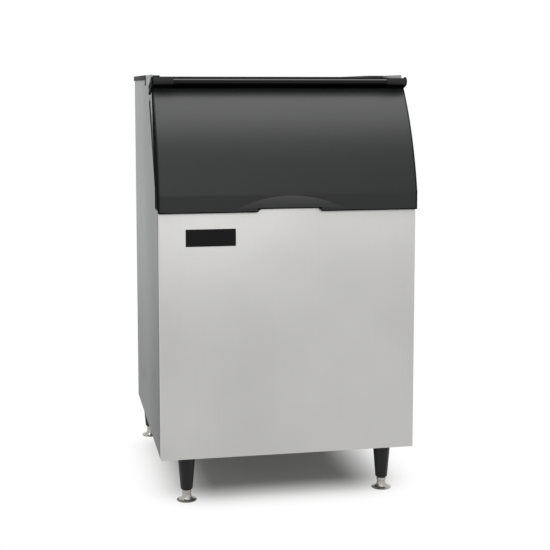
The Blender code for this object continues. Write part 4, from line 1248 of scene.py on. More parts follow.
def refined(
    node: str, finish: Finish, edge: Edge, body: str = "cabinet", more: Sequence[Shape] = (),
) -> None:
    """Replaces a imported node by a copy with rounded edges.

    Args:
        node: Name of the node.
        finish: Its finish.
        edge: Rounding of its edges.
        body: Body that it moves with.
        more: Shapes that belong to the same piece.
    """
    stand_in(Shape.of_node(node).round(edge).add(*more), node, finish, body)


@dataclass(frozen=True)
class Fastener:
    """Heads of the screws and bolts that hold the sheet metal."""

    head: float = 0.0042
    rise: float = 0.0022
    dome: float = 0.0010
    socket: float = 0.0020
    washer: float = 0.0006
    sides: int = 24
    flats: int = 6

    def pan_head(self, centre: Sequence[float], way: Sequence[float]) -> Shape:
        """Makes a round screw head with a round socket.

        Args:
            centre: Where it sits on the sheet.
            way: Direction that it faces.

        Returns:
            The head.
        """
        profile = [
            (0, self.rise * 0.35), (self.socket, self.rise * 0.45),
            (self.socket, self.rise + self.dome * 0.6),
            (self.head * 0.7, self.rise + self.dome * 0.2), (self.head * 0.93, self.rise * 0.72),
            (self.head, self.rise * 0.4), (self.head, 0), (0, 0),
        ]
        return Shape.turned(profile, centre, self.sides, way)

    def bolt_head(self, centre: Sequence[float], way: Sequence[float]) -> Shape:
        """Makes a hexagon head on a washer.

        Args:
            centre: Where it sits.
            way: Direction that it faces.

        Returns:
            The head and its washer.
        """
        rim, top = self.head * 1.2, self.rise * 1.5
        washer = [
            (0, self.washer), (self.head * 1.15, self.washer), (rim, self.washer / 2), (rim, 0),
            (0, 0),
        ]
        head = [
            (0, top), (self.head * 0.82, top), (self.head, self.rise * 1.25), (self.head, 0),
            (0, 0),
        ]
        plate = Shape.turned(washer, centre, self.sides, way)
        return plate.add(Shape.turned(head, centre, self.flats, way))


@dataclass
class Cabinet:
    """Sheet-metal shell: front, sides, back, base and the channel across the top."""

    front_return: float = 0.018
    bend: float = 0.0022
    hem: float = 0.0100
    hem_lift: float = 0.0002
    hem_inset_front: float = 0.004
    hem_inset_side: float = 0.02
    field_margin: float = 0.055
    swage: float = 0.0015
    swage_slope: float = 0.006
    back_screws: tuple[float, ...] = (-0.345, -0.1725, 0.0, 0.1725, 0.345)
    back_screws_low: float = 0.025
    back_screws_high: float = 0.03
    header_screws: tuple[float, ...] = (-0.24, 0.0, 0.24)
    screw_sink: float = 0.0002
    ribs: tuple[float, ...] = (-0.17, 0.0, 0.17)
    rib_width: float = 0.022
    rib_rise: float = 0.0035
    rib_sink: float = 0.0004
    rib_front: float = 0.09
    rib_back: float = 0.22
    badge_rim: float = 0.0016
    badge_step: float = 0.0003
    badge_sink: float = 0.00025
    front_edge: Edge = Edge(0.00035, 2, 50.0)
    side_edge: Edge = Edge(0.00045, 2)
    sheet_edge: Edge = Edge(0.0004, 2)
    hem_edge: Edge = Edge(0.0005, 2)
    rib_edge: Edge = Edge(0.0030)
    badge_edge: Edge = Edge(0.0004, 3, 60.0)
    screw: Fastener = Fastener()

    def front(self) -> None:
        """Builds the front panel with bent side returns and a folded hem."""
        s = SIZES
        inner = s.half - s.sheet
        fold = self.front_return
        outline = [
            (-s.half, fold), (-s.half, 0), (s.half, 0), (s.half, fold),
            (inner, fold), (inner, s.sheet), (-inner, s.sheet), (-inner, fold),
        ]
        tight = self.bend - s.sheet
        radii = {1: self.bend, 2: self.bend, 5: tight, 6: tight}
        panel = Shape.prism(Axis.UP, outline, s.clearance, s.sill, radii).round(self.front_edge)
        reach = inner - self.hem_inset_front
        hem = Shape.box(
            (-reach, s.sheet, s.clearance + self.hem_lift),
            (reach, 2 * s.sheet, s.clearance + self.hem), self.hem_edge,
        )
        stand_in(panel.add(hem), "front_panel", FRONT_STEEL)

    def sides(self) -> None:
        """Builds the side panels, each with a folded hem along its foot."""
        s = SIZES
        for side, name in SIDES:
            low, high = box_of(f"side_panel_{name}")
            near, far = sorted((side * (s.half - 2 * s.sheet), side * (s.half - s.sheet)))
            hem = Shape.box(
                (near, low.y + self.hem_inset_side, low.z + self.hem_lift),
                (far, high.y - self.hem_inset_side, low.z + self.hem), self.hem_edge,
            )
            refined(f"side_panel_{name}", SHADED_SIDE_STEEL, self.side_edge, more=[hem])

    def back(self) -> None:
        """Builds the back panel with two pressed fields and its screws."""
        low, high = box_of("back_panel")
        middle = (low.z + high.z) / 2
        way = (0, 1, 0)
        panel = Shape.box(low, high)
        bmesh.ops.bisect_plane(
            panel.bm, geom=panel.bm.verts[:] + panel.bm.edges[:] + panel.facing(way),
            plane_co=(0, 0, middle), plane_no=UPWARD,
        )
        bmesh.ops.inset_individual(
            panel.bm, faces=panel.facing(way), thickness=self.field_margin, use_even_offset=True,
        )
        bmesh.ops.inset_individual(
            panel.bm, faces=panel.facing(way, 2), thickness=self.swage_slope, depth=self.swage,
            use_even_offset=True,
        )
        stand_in(panel.round(self.sheet_edge), "back_panel", SHADED_BACK_STEEL)
        rows = (low.z + self.back_screws_low, middle, high.z - self.back_screws_high)
        heads = [
            self.screw.pan_head((across, high.y - self.screw_sink, height), way)
            for height in rows for across in self.back_screws
        ]
        publish(joined(heads), "back_screws", NICKEL)

    def base(self) -> None:
        """Builds the base pan with its pressed ribs, and the channel across the top."""
        low, high = box_of("base_pan")
        ribs = [
            Shape.box(
                (across - self.rib_width / 2, low.y + self.rib_front, low.z - self.rib_rise),
                (across + self.rib_width / 2, high.y - self.rib_back, low.z + self.rib_sink),
                self.rib_edge,
            )
            for across in self.ribs
        ]
        refined("base_pan", ZINC, self.sheet_edge, more=ribs)
        low, high = box_of("header_channel")
        refined("header_channel", INNER_STEEL, self.sheet_edge)
        depth, height = (low.y + high.y) / 2, high.z - self.screw_sink
        heads = [self.screw.pan_head((at, depth, height), UPWARD) for at in self.header_screws]
        publish(joined(heads), "header_screws", NICKEL)

    def badge(self) -> None:
        """Builds the bare black plate low on the left of the front panel."""
        way = (0, -1, 0)
        plate = Shape.box(*box_of("badge_plate"))
        bmesh.ops.inset_region(
            plate.bm, faces=plate.facing(way), thickness=self.badge_rim, depth=0.0,
        )
        bmesh.ops.inset_region(
            plate.bm, faces=plate.facing(way, 1), thickness=self.badge_step,
            depth=-self.badge_sink,
        )
        stand_in(plate.round(self.badge_edge), "badge_plate", BADGE)

    def build(self) -> None:
        """Builds the whole shell."""
        self.front()
        self.sides()
        self.back()
        self.base()
        self.badge()


@dataclass
class Storage:
    """Foam, liner tub and what hangs or stands in it."""

    foam: tuple[str, ...] = (
        "insulation_left", "insulation_right", "insulation_back", "insulation_front",
        "insulation_floor", "door_insulation",
    )
    cove: Edge = Edge(0.022, 6, 30.0)
    cove_length: float = 0.15
    cove_limit: float = 0.0025
    liner_edge: Edge = Edge(0.0006, 2)
    bracket_edge: Edge = Edge(0.0016)
    baffle_edge: Edge = Edge(0.0012)
    beads: tuple[float, ...] = (-0.21, -0.07, 0.07, 0.21)
    bead_width: float = 0.006
    bead_depth: float = 0.0032
    bead_low: float = 0.025
    bead_high: float = 0.030
    bead_edge: Edge = Edge(0.0016)
    holder_edge: Edge = Edge(0.0009)
    scoop_edge: Edge = Edge(0.0008)
    grip_rings: int = 4
    grip_start: float = 0.022
    grip_pitch: float = 0.016
    grip_steps: int = 32
    grip: Profile = ((0.0098, 0.0022), (0.0110, 0.0012), (0.0110, -0.0012), (0.0098, -0.0022))

    def liner(self) -> None:
        """Builds the liner with coved corners."""
        liner = Shape.of_node("liner")
        inside = box_of("liner")[1].x - self.cove_limit

        def hollow(edge: bmesh.types.BMEdge) -> bool:
            """Tells whether an edge is a long hollow corner of the tub."""
            if edge.calc_length() < self.cove_length or edge.calc_face_angle_signed(0) > 0:
                return False
            return all(abs(vert.co.x) < inside for vert in edge.verts)

        liner.round(self.cove, hollow)
        liner.round(self.liner_edge, lambda edge: edge.calc_face_angle_signed(0) > 0)
        stand_in(liner, "liner", LINER)

    def baffle(self) -> None:
        """Builds the hanging baffle with its stiffening beads, and its brackets."""
        low, high = box_of("ice_baffle")
        middle = (low.y + high.y) / 2
        beads = [
            Shape.box(
                (across - self.bead_width, middle - self.bead_depth, low.z + self.bead_low),
                (across + self.bead_width, middle + self.bead_depth, high.z - self.bead_high),
                self.bead_edge,
            )
            for across in self.beads
        ]
        refined("ice_baffle", BAFFLE, self.baffle_edge, "baffle", beads)
        for _, name in SIDES:
            refined(f"baffle_bracket_{name}", LINER, self.bracket_edge)

    def scoop(self) -> None:
        """Builds the scoop with the rings of its grip, and its pocket."""
        refined("scoop_holder", LINER, self.holder_edge)
        low, high = box_of("scoop")
        across, depth = (low.x + high.x) / 2, (low.y + high.y) / 2
        rings = []
        for step in range(self.grip_rings):
            height = high.z - self.grip_start - self.grip_pitch * step
            rings.append(Shape.turned(self.grip, (across, depth, height), self.grip_steps))
        refined("scoop", SCOOP, self.scoop_edge, "scoop", rings)

    def build(self) -> None:
        """Finishes the foam and builds the rest."""
        for node in self.foam:
            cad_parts[node].material_slots[0].material = FOAM.material()
            LOG.info("%s: packed mesh with foam finish", node)
        self.liner()
        self.baffle()
        self.scoop()


@dataclass
class OpeningTrim:
    """Sill, jambs, lintel, bumpers and the rim around the top."""

    edge: Edge = Edge(0.0012, 3, 35.0)
    bumper_edge: Edge = Edge(0.0006, 3, 35.0)
    rim_edge: Edge = Edge(0.0009, 3, 35.0)
    small_edge: Edge = Edge(0.0006)
    clip_inset: float = 0.0004
    clip_wall: float = 0.0024
    clip_front: float = 0.0001
    clip_back: float = 0.0075
    clip_drop: float = 0.017
    clip_rise: float = 0.004
    stop_inner: float = 0.3375
    stop_wall: float = 0.0024
    stop_overlap: float = 0.0004

    def rim(self) -> None:
        """Builds the rim with a clip and a stop at each of its front ends."""
        low, high = box_of("top_rim")
        clips, stops = [], []
        for side, _ in SIDES:
            outer = side * (high.x - self.clip_inset)
            near, far = sorted((outer, outer - side * self.clip_wall))
            clips.append(Shape.box(
                (near, low.y - self.clip_front, low.z - self.clip_drop),
                (far, low.y + self.clip_back, low.z + self.clip_rise), self.small_edge,
            ))
            outer = side * (SIZES.half - SIZES.sheet - SIZES.gap)
            near, far = sorted((side * self.stop_inner, outer))
            stops.append(Shape.box(
                (near, low.y - self.stop_wall, low.z + self.stop_overlap),
                (far, low.y + self.stop_overlap, high.z), self.small_edge,
            ))
        refined("top_rim", GREY, self.rim_edge, more=clips)
        publish(joined(stops), "rim_stops", GREY)

    def build(self) -> None:
        """Builds the trim."""
        refined("sill_cap", TRIM, self.edge)
        refined("lintel", TRIM, self.edge)
        for _, name in SIDES:
            refined(f"jamb_{name}", TRIM, self.edge)
            refined(f"door_bumper_{name}", GASKET, self.bumper_edge)
        self.rim()


@dataclass
class Hinge:
    """Brackets, pins and screws at both ends of the rail."""

    plate: float = 0.005
    top_radius: float = 0.0135
    boss_radius: float = 0.0145
    boss_back: float = 0.079
    boss_drop: float = 0.026
    edge: Edge = Edge(0.0014, 4)
    arc_steps: int = 28
    collar_steps: int = 36
    pin_steps: int = 32
    collar: Profile = (
        (0.0078, -0.0005), (0.0078, 0.0006), (0.0072, 0.0009), (0.0052, 0.0009),
        (0.0052, -0.0005),
    )
    pin: Profile = (
        (0, 0.0008), (0.0028, 0.0007), (0.0042, 0.0003), (0.0046, 0), (0.004, -0.0004),
        (0.004, -0.0252), (0.0032, -0.026), (0, -0.026),
    )
    screw: Profile = (
        (0, -0.0016), (0.0019, -0.0014), (0.0020, 0.0001), (0.0026, 0.0003), (0.0044, 0.0003),
        (0.0050, -0.0001), (0.0025, -0.0026), (0.0025, -0.0071), (0.0045, -0.0071),
        (0.0045, -0.0109), (0.0041, -0.0111), (0, -0.0111),
    )

    def bracket(self, side: int, name: str) -> None:
        """Builds one drop-shaped bracket with a collar around its pin.

        Args:
            side: -1 for the left, 1 for the right.
            name: Name of the side.
        """
        s = SIZES
        top = Vector((s.axis_depth, s.axis_height))
        boss = top + Vector((self.boss_back, -self.boss_drop))
        way = boss - top
        lean = math.asin((self.top_radius - self.boss_radius) / way.length)
        start = math.atan2(way.y, way.x) + math.pi / 2 - lean
        end = start + math.pi + 2 * lean
        near = side * (s.half + s.gap)
        outer = near + side * self.plate
        shape = Shape()
        first = top + self.top_radius * Vector((math.cos(start), math.sin(start)))
        pen = Pen(shape, Axis.ACROSS, tuple(first), near)
        pen.arc(tuple(top), math.pi + 2 * lean, self.arc_steps)
        pen.line(tuple(boss + self.boss_radius * Vector((math.cos(end), math.sin(end)))))
        pen.arc(tuple(boss), math.pi - 2 * lean, self.arc_steps).close()
        shape.draw_out(Axis.ACROSS, side * self.plate).round(self.edge, in_plane(outer))
        collar = Shape.turned(self.collar, (outer, top.x, top.y), self.collar_steps, (side, 0, 0))
        stand_in(shape.add(collar), f"hinge_bracket_{name}", BRACKET)

    def fasteners(self, side: int, name: str) -> None:
        """Builds the pin and the screw of one bracket.

        Args:
            side: -1 for the left, 1 for the right.
            name: Name of the side.
        """
        s = SIZES
        outer = side * (s.half + s.gap + self.plate)
        axis = (outer, s.axis_depth, s.axis_height)
        boss = (outer, s.axis_depth + self.boss_back, s.axis_height - self.boss_drop)
        turned = (("hinge_pin", self.pin, axis), ("bracket_screw", self.screw, boss))
        for node, profile, centre in turned:
            shape = Shape.turned(profile, centre, self.pin_steps, (side, 0, 0))
            stand_in(shape, f"{node}_{name}", NICKEL)

    def build(self) -> None:
        """Builds both ends."""
        for side, name in SIDES:
            self.bracket(side, name)
            self.fasteners(side, name)


@dataclass
class DoorLines:
    """Lines of the door's section that its shell and its rail share."""

    band: float = 0.0461
    skirt_drop: float = 0.017
    roll_radius: float = 0.0367
    roll_angle: float = math.radians(13.0)
    roll_steps: int = 10
    face_steps: int = 60
    top_setback: float = 0.0104
    top_raise: float = 0.0022
    underside_gap: float = 0.0085
    pan_corner: float = 0.110
    pan_angle: float = math.radians(14.3)
    rail_depth: float = 0.046
    rail_height: float = 0.021
    rail_lift: float = 0.0125
    fall: float = math.atan2(0.026, 0.079)

    @property
    def skirt(self) -> float:
        """Height of the door's lower edge."""
        return SIZES.sill - self.skirt_drop

    @property
    def top(self) -> float:
        """Height of the face's upper end."""
        return SIZES.axis_height - self.rail_height / 2 - self.rail_lift + self.top_raise

    def face_arc(self) -> tuple[Point, Point, float, float]:
        """Works out the long arc of the face.

        Returns:
            Its start, its centre, its turn and its radius.
        """
        cos, sin = math.cos(self.roll_angle), math.sin(self.roll_angle)
        start_depth = self.roll_radius * (1 - cos) - SIZES.bulge
        start_height = self.skirt + self.band + self.roll_radius * sin
        run = SIZES.axis_depth + self.top_setback - start_depth
        rise = self.top - start_height
        lean = math.atan2(run, rise) - self.roll_angle
        radius = math.hypot(run, rise) / 2 / math.sin(lean)
        centre = (start_depth + radius * cos, start_height - radius * sin)
        return (start_depth, start_height), centre, 2 * lean, radius

    def draw_face(self, shape: Shape, across: float, foot: float, inset: float) -> Pen:
        """Draws the face's section from its foot to its upper end.

        Args:
            shape: Shape that takes it.
            across: Where the section stands.
            foot: Height of the lower end.
            inset: Distance behind the outer face.

        Returns:
            The pen at the upper end.
        """
        centre, turn = self.face_arc()[1:3]
        band_top = self.skirt + self.band
        face = inset - SIZES.bulge
        pen = Pen(shape, Axis.ACROSS, (face, foot), across).line((face, band_top))
        pen.arc((self.roll_radius - SIZES.bulge, band_top), -self.roll_angle, self.roll_steps)
        short = 0 if inset == 0 else 1
        return pen.arc(centre, -turn * (1 - short / self.face_steps), self.face_steps - short)

    def corners(self) -> dict[str, Point]:
        """Works out the corners of the door's section.

        Returns:
            Points and directions by name.
        """
        s = SIZES
        centre, turn, radius = self.face_arc()[1:]
        end = self.roll_angle + turn
        front = (centre[0] - radius * math.cos(end), centre[1] + radius * math.sin(end))
        top_way = (math.cos(self.fall), -math.sin(self.fall))
        back_way = (math.sin(s.slant), math.cos(s.slant))
        underside = s.sill + self.underside_gap
        pan_height = s.sill + self.pan_corner
        pan_low = (s.seat_depth(pan_height, s.gasket), pan_height)
        pan_way = (math.sin(self.pan_angle), math.cos(self.pan_angle))
        return {
            "front": front,
            "top_way": top_way,
            "back_way": back_way,
            "low": (s.seat_depth(underside, s.gasket), underside),
            "pan_low": pan_low,
            "pan_high": meet(front, top_way, pan_low, pan_way),
        }


@dataclass
class DoorShell(DoorLines):
    """Outer shell: domed face, side walls, skirt, finger scoop and notch."""

    wall: float = 0.0035
    side_wall: float = 0.0017
    edge: Edge = Edge(0.0016, 4)
    edge_end: float = 0.03
    last_angle: float = math.radians(38.5)
    scoop_radius: float = 2.57
    scoop_sweep: float = math.radians(7.0)
    scoop_steps: int = 140
    scoop_thickness: float = 0.06
    scoop_depth: float = 0.0053
    scoop_rise: float = 0.049
    scoop_wall: float = 0.0022
    notch_half: float = 0.087
    notch_rise: float = 0.0085
    notch_chamfer: float = 0.010
    notch_radius: float = 0.004
    overrun: float = 0.03
    smooth: float = 6.0

    @property
    def half(self) -> float:
        """Half of the door's width."""
        return SIZES.half + SIZES.gap + self.side_wall

    @property
    def inside(self) -> float:
        """Half of the width between the side walls."""
        return SIZES.half + SIZES.gap

    def drum(self, wall: float) -> Shape:
        """Makes the part of a wide, tilted drum that bites the finger scoop.

        Args:
            wall: Distance that it is moved out on all sides.

        Returns:
            The cutter.
        """
        tilt = math.atan2(self.scoop_depth, self.scoop_rise - self.notch_rise)
        radius = self.scoop_radius
        edge = (radius * math.sin(self.scoop_sweep), radius * math.cos(self.scoop_sweep))
        inner = edge[1] - self.scoop_thickness
        shape = Shape()
        pen = Pen(shape, Axis.UP, edge, -wall).arc((0, 0), 2 * self.scoop_sweep, self.scoop_steps)
        pen.line((-edge[0], inner), (edge[0], inner)).close()
        shape.draw_out(Axis.UP, 2 * self.scoop_rise + wall).turn(tilt, Axis.ACROSS)
        touch = Vector((0, self.scoop_depth - SIZES.bulge, self.skirt + self.notch_rise))
        return shape.move(touch - (radius - wall) * Vector((0, math.cos(tilt), math.sin(tilt))))

    def room(self) -> Shape:
        """Makes the hollow between the side walls, above the underside."""
        s = SIZES
        points = self.corners()
        floor = points["low"][1] + self.wall
        depth, height = points["front"]
        under_top = (depth, height - self.wall / math.cos(self.fall))
        last_way = (math.sin(self.last_angle), math.cos(self.last_angle))
        behind = (s.seat_depth(s.sill, -self.overrun), s.sill)
        room = Shape()
        pen = self.draw_face(room, -self.inside, floor, self.wall)
        tip = (pen.tip.co.y, pen.tip.co.z)
        pen.line(
            meet(tip, last_way, under_top, points["top_way"]),
            meet(under_top, points["top_way"], behind, points["back_way"]),
            (s.seat_depth(floor, -self.overrun), floor),
        ).close()
        return room.draw_out(Axis.ACROSS, 2 * self.inside).carve(self.drum(self.scoop_wall))

    def behind_skirt(self) -> Shape:
        """Makes the hollow behind the skirt, below the underside."""
        depth, height = self.corners()["low"]
        skirt_back = self.wall - SIZES.bulge
        below = self.skirt - self.overrun
        reach = depth + self.overrun
        outline = [(skirt_back, below), (skirt_back, height), (reach, height), (reach, below)]
        hollow = Shape.prism(Axis.ACROSS, outline, -self.inside, self.inside)
        return hollow.carve(self.drum(self.scoop_wall))

    def notch(self) -> Shape:
        """Makes the notch in the lower edge."""
        wide = self.notch_half + self.notch_chamfer
        high, low = self.skirt + self.notch_rise, self.skirt - self.notch_rise
        outline = [
            (-wide, self.skirt), (-self.notch_half, high), (self.notch_half, high),
            (wide, self.skirt), (wide, low), (-wide, low),
        ]
        radii = dict.fromkeys(range(4), self.notch_radius)
        front = -SIZES.bulge - self.overrun
        return Shape.prism(Axis.DEEP, outline, front, self.overrun, radii)

    def build(self) -> None:
        """Builds the shell."""
        points = self.corners()
        outer = Shape()
        self.draw_face(outer, -self.half, self.skirt, 0.0).line(
            points["pan_high"], points["pan_low"], points["low"],
            (self.wall - SIZES.bulge, self.skirt),
        ).close()
        outer.draw_out(Axis.ACROSS, 2 * self.half)
        last = points["pan_high"][0] - self.edge_end
        outer.round(self.edge, lambda edge: min(vert.co.y for vert in edge.verts) < last)
        outer.carve(self.drum(0.0), self.room(), self.behind_skirt(), self.notch())
        stand_in(outer, "door_shell", BLACK, "door", self.smooth)


@dataclass
class DoorSeal:
    """Inner pan, and the gasket that it carries."""

    pan_edge: Edge = Edge(0.0006, 2)
    width: float = 0.014
    bead_inset: float = 0.0028
    groove_slope: float = 0.0016
    groove: float = 0.0026
    narrowing: float = 0.0065
    edge: Edge = Edge(0.0009, 3, 25.0)

    def gasket(self) -> None:
        """Builds the gasket as a frame with a groove along its face."""
        s = SIZES
        low, high = box_of("door_gasket")
        thickness = s.gasket - 2 * s.gap
        length = (high.z - low.z - thickness * math.sin(s.slant)) / math.cos(s.slant)
        seal = Shape()
        bmesh.ops.create_grid(seal.bm, x_segments=1, y_segments=1, size=0.5)
        bmesh.ops.scale(seal.bm, vec=(2 * high.x, length, 1), verts=seal.bm.verts)
        made = bmesh.ops.inset_individual(
            seal.bm, faces=seal.bm.faces[:], thickness=self.width, use_even_offset=True,
        )
        centre = [face for face in seal.bm.faces if face not in made["faces"]]
        bmesh.ops.delete(seal.bm, geom=centre, context="FACES_ONLY")
        seal.draw_out(Axis.UP, thickness)
        bmesh.ops.inset_region(
            seal.bm, faces=seal.facing(UPWARD), thickness=self.bead_inset, use_even_offset=True,
        )
        least = self.width - self.narrowing
        lid = [
            face for face in seal.facing(UPWARD)
            if min(edge.calc_length() for edge in face.edges) > least
        ]
        bmesh.ops.inset_region(
            seal.bm, faces=lid, thickness=self.groove_slope, depth=-self.groove,
            use_even_offset=True,
        )
        seal.round(self.edge).turn(math.pi / 2 - s.slant, Axis.ACROSS)
        middle = (low + high) / 2
        outward = Vector((0, -math.cos(s.slant), math.sin(s.slant)))
        seal.move(Vector((0, middle.y, middle.z)) - outward * (thickness / 2))
        stand_in(seal, "door_gasket", GASKET, "door")

    def build(self) -> None:
        """Builds the pan and the gasket."""
        refined("door_pan", PAN, self.pan_edge, "door")
        self.gasket()


@dataclass
class Rail(DoorLines):
    """Hinge rail on the door's top wall, with an end cap and a bush at each end."""

    ledge: float = 0.0035
    chamfer: float = 0.0030
    inset: float = 0.0075
    foot_rise: float = 0.0015
    web_back: float = 0.0036
    web: float = 0.009
    bar_radii: tuple[float, ...] = (0.0135, 0.0008, 0.0004, 0.0004, 0.003)
    cap_inset: float = 0.0045
    cap_length: float = 0.058
    cap_radii: tuple[float, ...] = (0.0105, 0.005, 0.003)
    cap_end_edge: Edge = Edge(0.0034, 5, 60.0)
    cap_edge: Edge = Edge(0.0005, 2, 60.0)
    smooth: float = 25.0
    steps: int = 32
    socket: Profile = ((0, 0.01), (0.0071, 0.01), (0.0071, -0.0263), (0, -0.0263))
    bush: Profile = (
        (0.0068, -0.0003), (0.0068, -0.0200), (0.0043, -0.0200), (0.0043, -0.0003),
        (0.0047, 0.0), (0.0064, 0.0),
    )

    @property
    def back(self) -> float:
        """Depth of the rail's back."""
        return SIZES.axis_depth + self.rail_depth / 2

    @property
    def front(self) -> float:
        """Depth that the bar's face and the caps' noses are set back from."""
        return SIZES.axis_depth - self.rail_depth / 2

    @property
    def low(self) -> float:
        """Height of the rail's underside."""
        return SIZES.axis_height - self.rail_height / 2

    @property
    def high(self) -> float:
        """Height of the rail's top."""
        return SIZES.axis_height + self.rail_height / 2

    @property
    def end(self) -> float:
        """Where the rail ends across the width."""
        return SIZES.half - SIZES.gap

    def web_outline(self) -> list[Point]:
        """Gives the corners below the back, with the web that stands on the door's top wall."""
        depth, height = self.corners()["front"]
        under = self.low + self.foot_rise
        far = self.back - self.web_back
        near = far - self.web
        seats = [height - (at - depth) * math.tan(self.fall) + SIZES.gap for at in (far, near)]
        web = [(far, under), (far, seats[0]), (near, seats[1]), (near, self.low)]
        return [(self.back, under), *web]

    def bar(self) -> None:
        """Builds the long middle of the rail with the step along its front."""
        line = self.high - self.ledge
        face = self.front + self.inset
        outline = [
            (face, self.low), (face, line - self.chamfer), (face + self.chamfer, line),
            (face + self.chamfer, self.high), (self.back, self.high), *self.web_outline(),
        ]
        middle = self.end - self.cap_length
        radii = dict(enumerate(self.bar_radii))
        bar = Shape.prism(Axis.ACROSS, outline, -middle, middle, radii)
        stand_in(bar, "hinge_rail", RAIL, "door", self.smooth)

    def cap(self, side: int) -> Shape:
        """Makes one end cap, hollowed for its bush.

        Args:
            side: -1 for the left, 1 for the right.

        Returns:
            The cap.
        """
        nose = self.front + self.cap_inset
        start = self.end - self.cap_length + SIZES.gap
        near, far = sorted((side * start, side * self.end))
        outline = [(nose, self.low), (nose, self.high), (self.back, self.high), *self.web_outline()]
        cap = Shape.prism(Axis.ACROSS, outline, near, far, dict(enumerate(self.cap_radii)))
        cap.round(self.cap_end_edge, in_plane(side * self.end)).round(self.cap_edge)
        return cap.carve(self.turned(self.socket, side))

    def turned(self, profile: Profile, side: int) -> Shape:
        """Turns a profile about the hinge axis, from the rail's end inwards.

        Args:
            profile: Corners as (radius, distance past the end).
            side: -1 for the left, 1 for the right.

        Returns:
            The turned solid.
        """
        centre = (side * self.end, SIZES.axis_depth, SIZES.axis_height)
        return Shape.turned(profile, centre, self.steps, (side, 0, 0))

    def build(self) -> None:
        """Builds the rail, its caps and its bushes."""
        self.bar()
        caps = joined(self.cap(side) for side, _ in SIDES)
        publish(caps, "hinge_rail_caps", CAP, "door", smooth=self.smooth)
        for side, name in SIDES:
            stand_in(self.turned(self.bush, side), f"hinge_bush_{name}", NYLON, "door")


@dataclass
class Legs:
    """Tapered legs with their plates and screw-in feet."""

    steps: int = 64
    top_radius: float = 0.0268
    foot_radius: float = 0.0180
    draft: float = 0.0002
    shoulder: float = 0.006
    shoulder_edge: float = 0.0008
    stud: float = 0.006
    lift: float = 0.034
    roll: float = 0.0045
    roll_steps: int = 6
    bore: float = 0.0064
    bore_edge: float = 0.0006
    bore_depth: float = 0.060
    plate_edge: Edge = Edge(0.0010)
    bolt: Fastener = Fastener(0.0026, 0.0016)
    bolt_inset: float = 0.0050
    thread: float = 0.0056
    thread_edge: float = 0.0008
    crest: float = 0.0060
    root: float = 0.0054
    pitch: float = 0.0018
    thread_end: float = 0.002
    collar: float = 0.0142
    collar_gap: float = 0.0005
    collar_edge: float = 0.0010
    collar_foot: float = 0.0062
    neck_inset: float = 0.0012
    neck_top: float = 0.0052
    neck_foot: float = 0.0026
    dome: float = 0.0185
    dome_steps: int = 12
    dome_foot: float = 0.0032
    disc: float = 0.030
    disc_top: float = 0.0024
    disc_edge: float = 0.0010

    def leg(self, place: str) -> None:
        """Builds one leg.

        Args:
            place: Which corner it stands at.
        """
        low, high = box_of(f"leg_{place}")
        centre = ((low.x + high.x) / 2, (low.y + high.y) / 2, 0)
        top = box_of(f"leg_plate_{place}")[0].z - SIZES.gap
        foot = self.foot_radius + self.draft
        bend = self.lift + self.roll
        hollow = self.lift + self.bore_depth
        shape = Shape()
        pen = Pen(shape, Axis.DEEP, (0, high.z), 0.0)
        pen.line(
            (self.stud, high.z), (self.stud, top), (self.top_radius - self.shoulder_edge, top),
            (self.top_radius, top - self.shoulder_edge),
            (self.top_radius - self.draft, top - self.shoulder), (foot, bend),
        )
        pen.arc((foot - self.roll, bend), math.pi / 2, self.roll_steps)
        pen.line(
            (self.bore + self.bore_edge, self.lift), (self.bore, self.lift + self.bore_edge),
            (self.bore, hollow), (0, hollow),
        )
        stand_in(Shape.turned(shape, centre, self.steps), f"leg_{place}", LEG)

    def plate(self, place: str) -> None:
        """Builds one mounting plate and its four bolts.

        Args:
            place: Which corner it is at.
        """
        low, high = box_of(f"leg_plate_{place}")
        heads = [
            self.bolt.bolt_head((across, depth, low.z), (0, 0, -1))
            for across in (low.x + self.bolt_inset, high.x - self.bolt_inset)
            for depth in (low.y + self.bolt_inset, high.y - self.bolt_inset)
        ]
        refined(f"leg_plate_{place}", ZINC, self.plate_edge, more=heads)

    def foot(self, place: str) -> None:
        """Builds one levelling foot: disc, domed neck, collar and threaded stem.

        Args:
            place: Which corner it stands at.
        """
        low, high = box_of(f"foot_{place}")
        centre = ((low.x + high.x) / 2, (low.y + high.y) / 2, 0)
        collar_top = self.lift - self.collar_gap
        neck = self.collar - self.neck_inset
        height = high.z - self.thread_edge
        shape = Shape()
        pen = Pen(shape, Axis.DEEP, (0, high.z), 0.0)
        pen.line((self.thread - self.thread_edge, high.z), (self.thread, height))
        while height - self.pitch > collar_top + self.thread_end:
            pen.line((self.crest, height - self.pitch / 2), (self.root, height - self.pitch))
            height -= self.pitch
        pen.line(
            (self.root, collar_top), (self.collar - self.collar_edge, collar_top),
            (self.collar, collar_top - self.collar_edge),
            (self.collar, self.dome + self.collar_foot), (neck, self.dome + self.neck_top),
            (neck, self.dome + self.neck_foot),
        )
        flare = self.disc - self.neck_inset - neck
        rise = self.dome - self.neck_inset
        for step in range(self.dome_steps + 1):
            turn = math.pi / 2 * step / self.dome_steps
            radius = neck + flare * (1 - math.cos(turn))
            pen.line((radius, self.dome_foot + rise * (1 - math.sin(turn))))
        pen.line(
            (self.disc, self.disc_top), (self.disc, self.disc_edge),
            (self.disc - self.disc_edge, 0), (0, 0),
        )
        turned = Shape.turned(shape, centre, self.steps)
        stand_in(turned, f"foot_{place}", NICKEL, f"foot_{place}")

    def build(self) -> None:
        """Builds all four corners."""
        for end in ("front", "back"):
            for _, side in SIDES:
                self.leg(f"{end}_{side}")
                self.plate(f"{end}_{side}")
                self.foot(f"{end}_{side}")


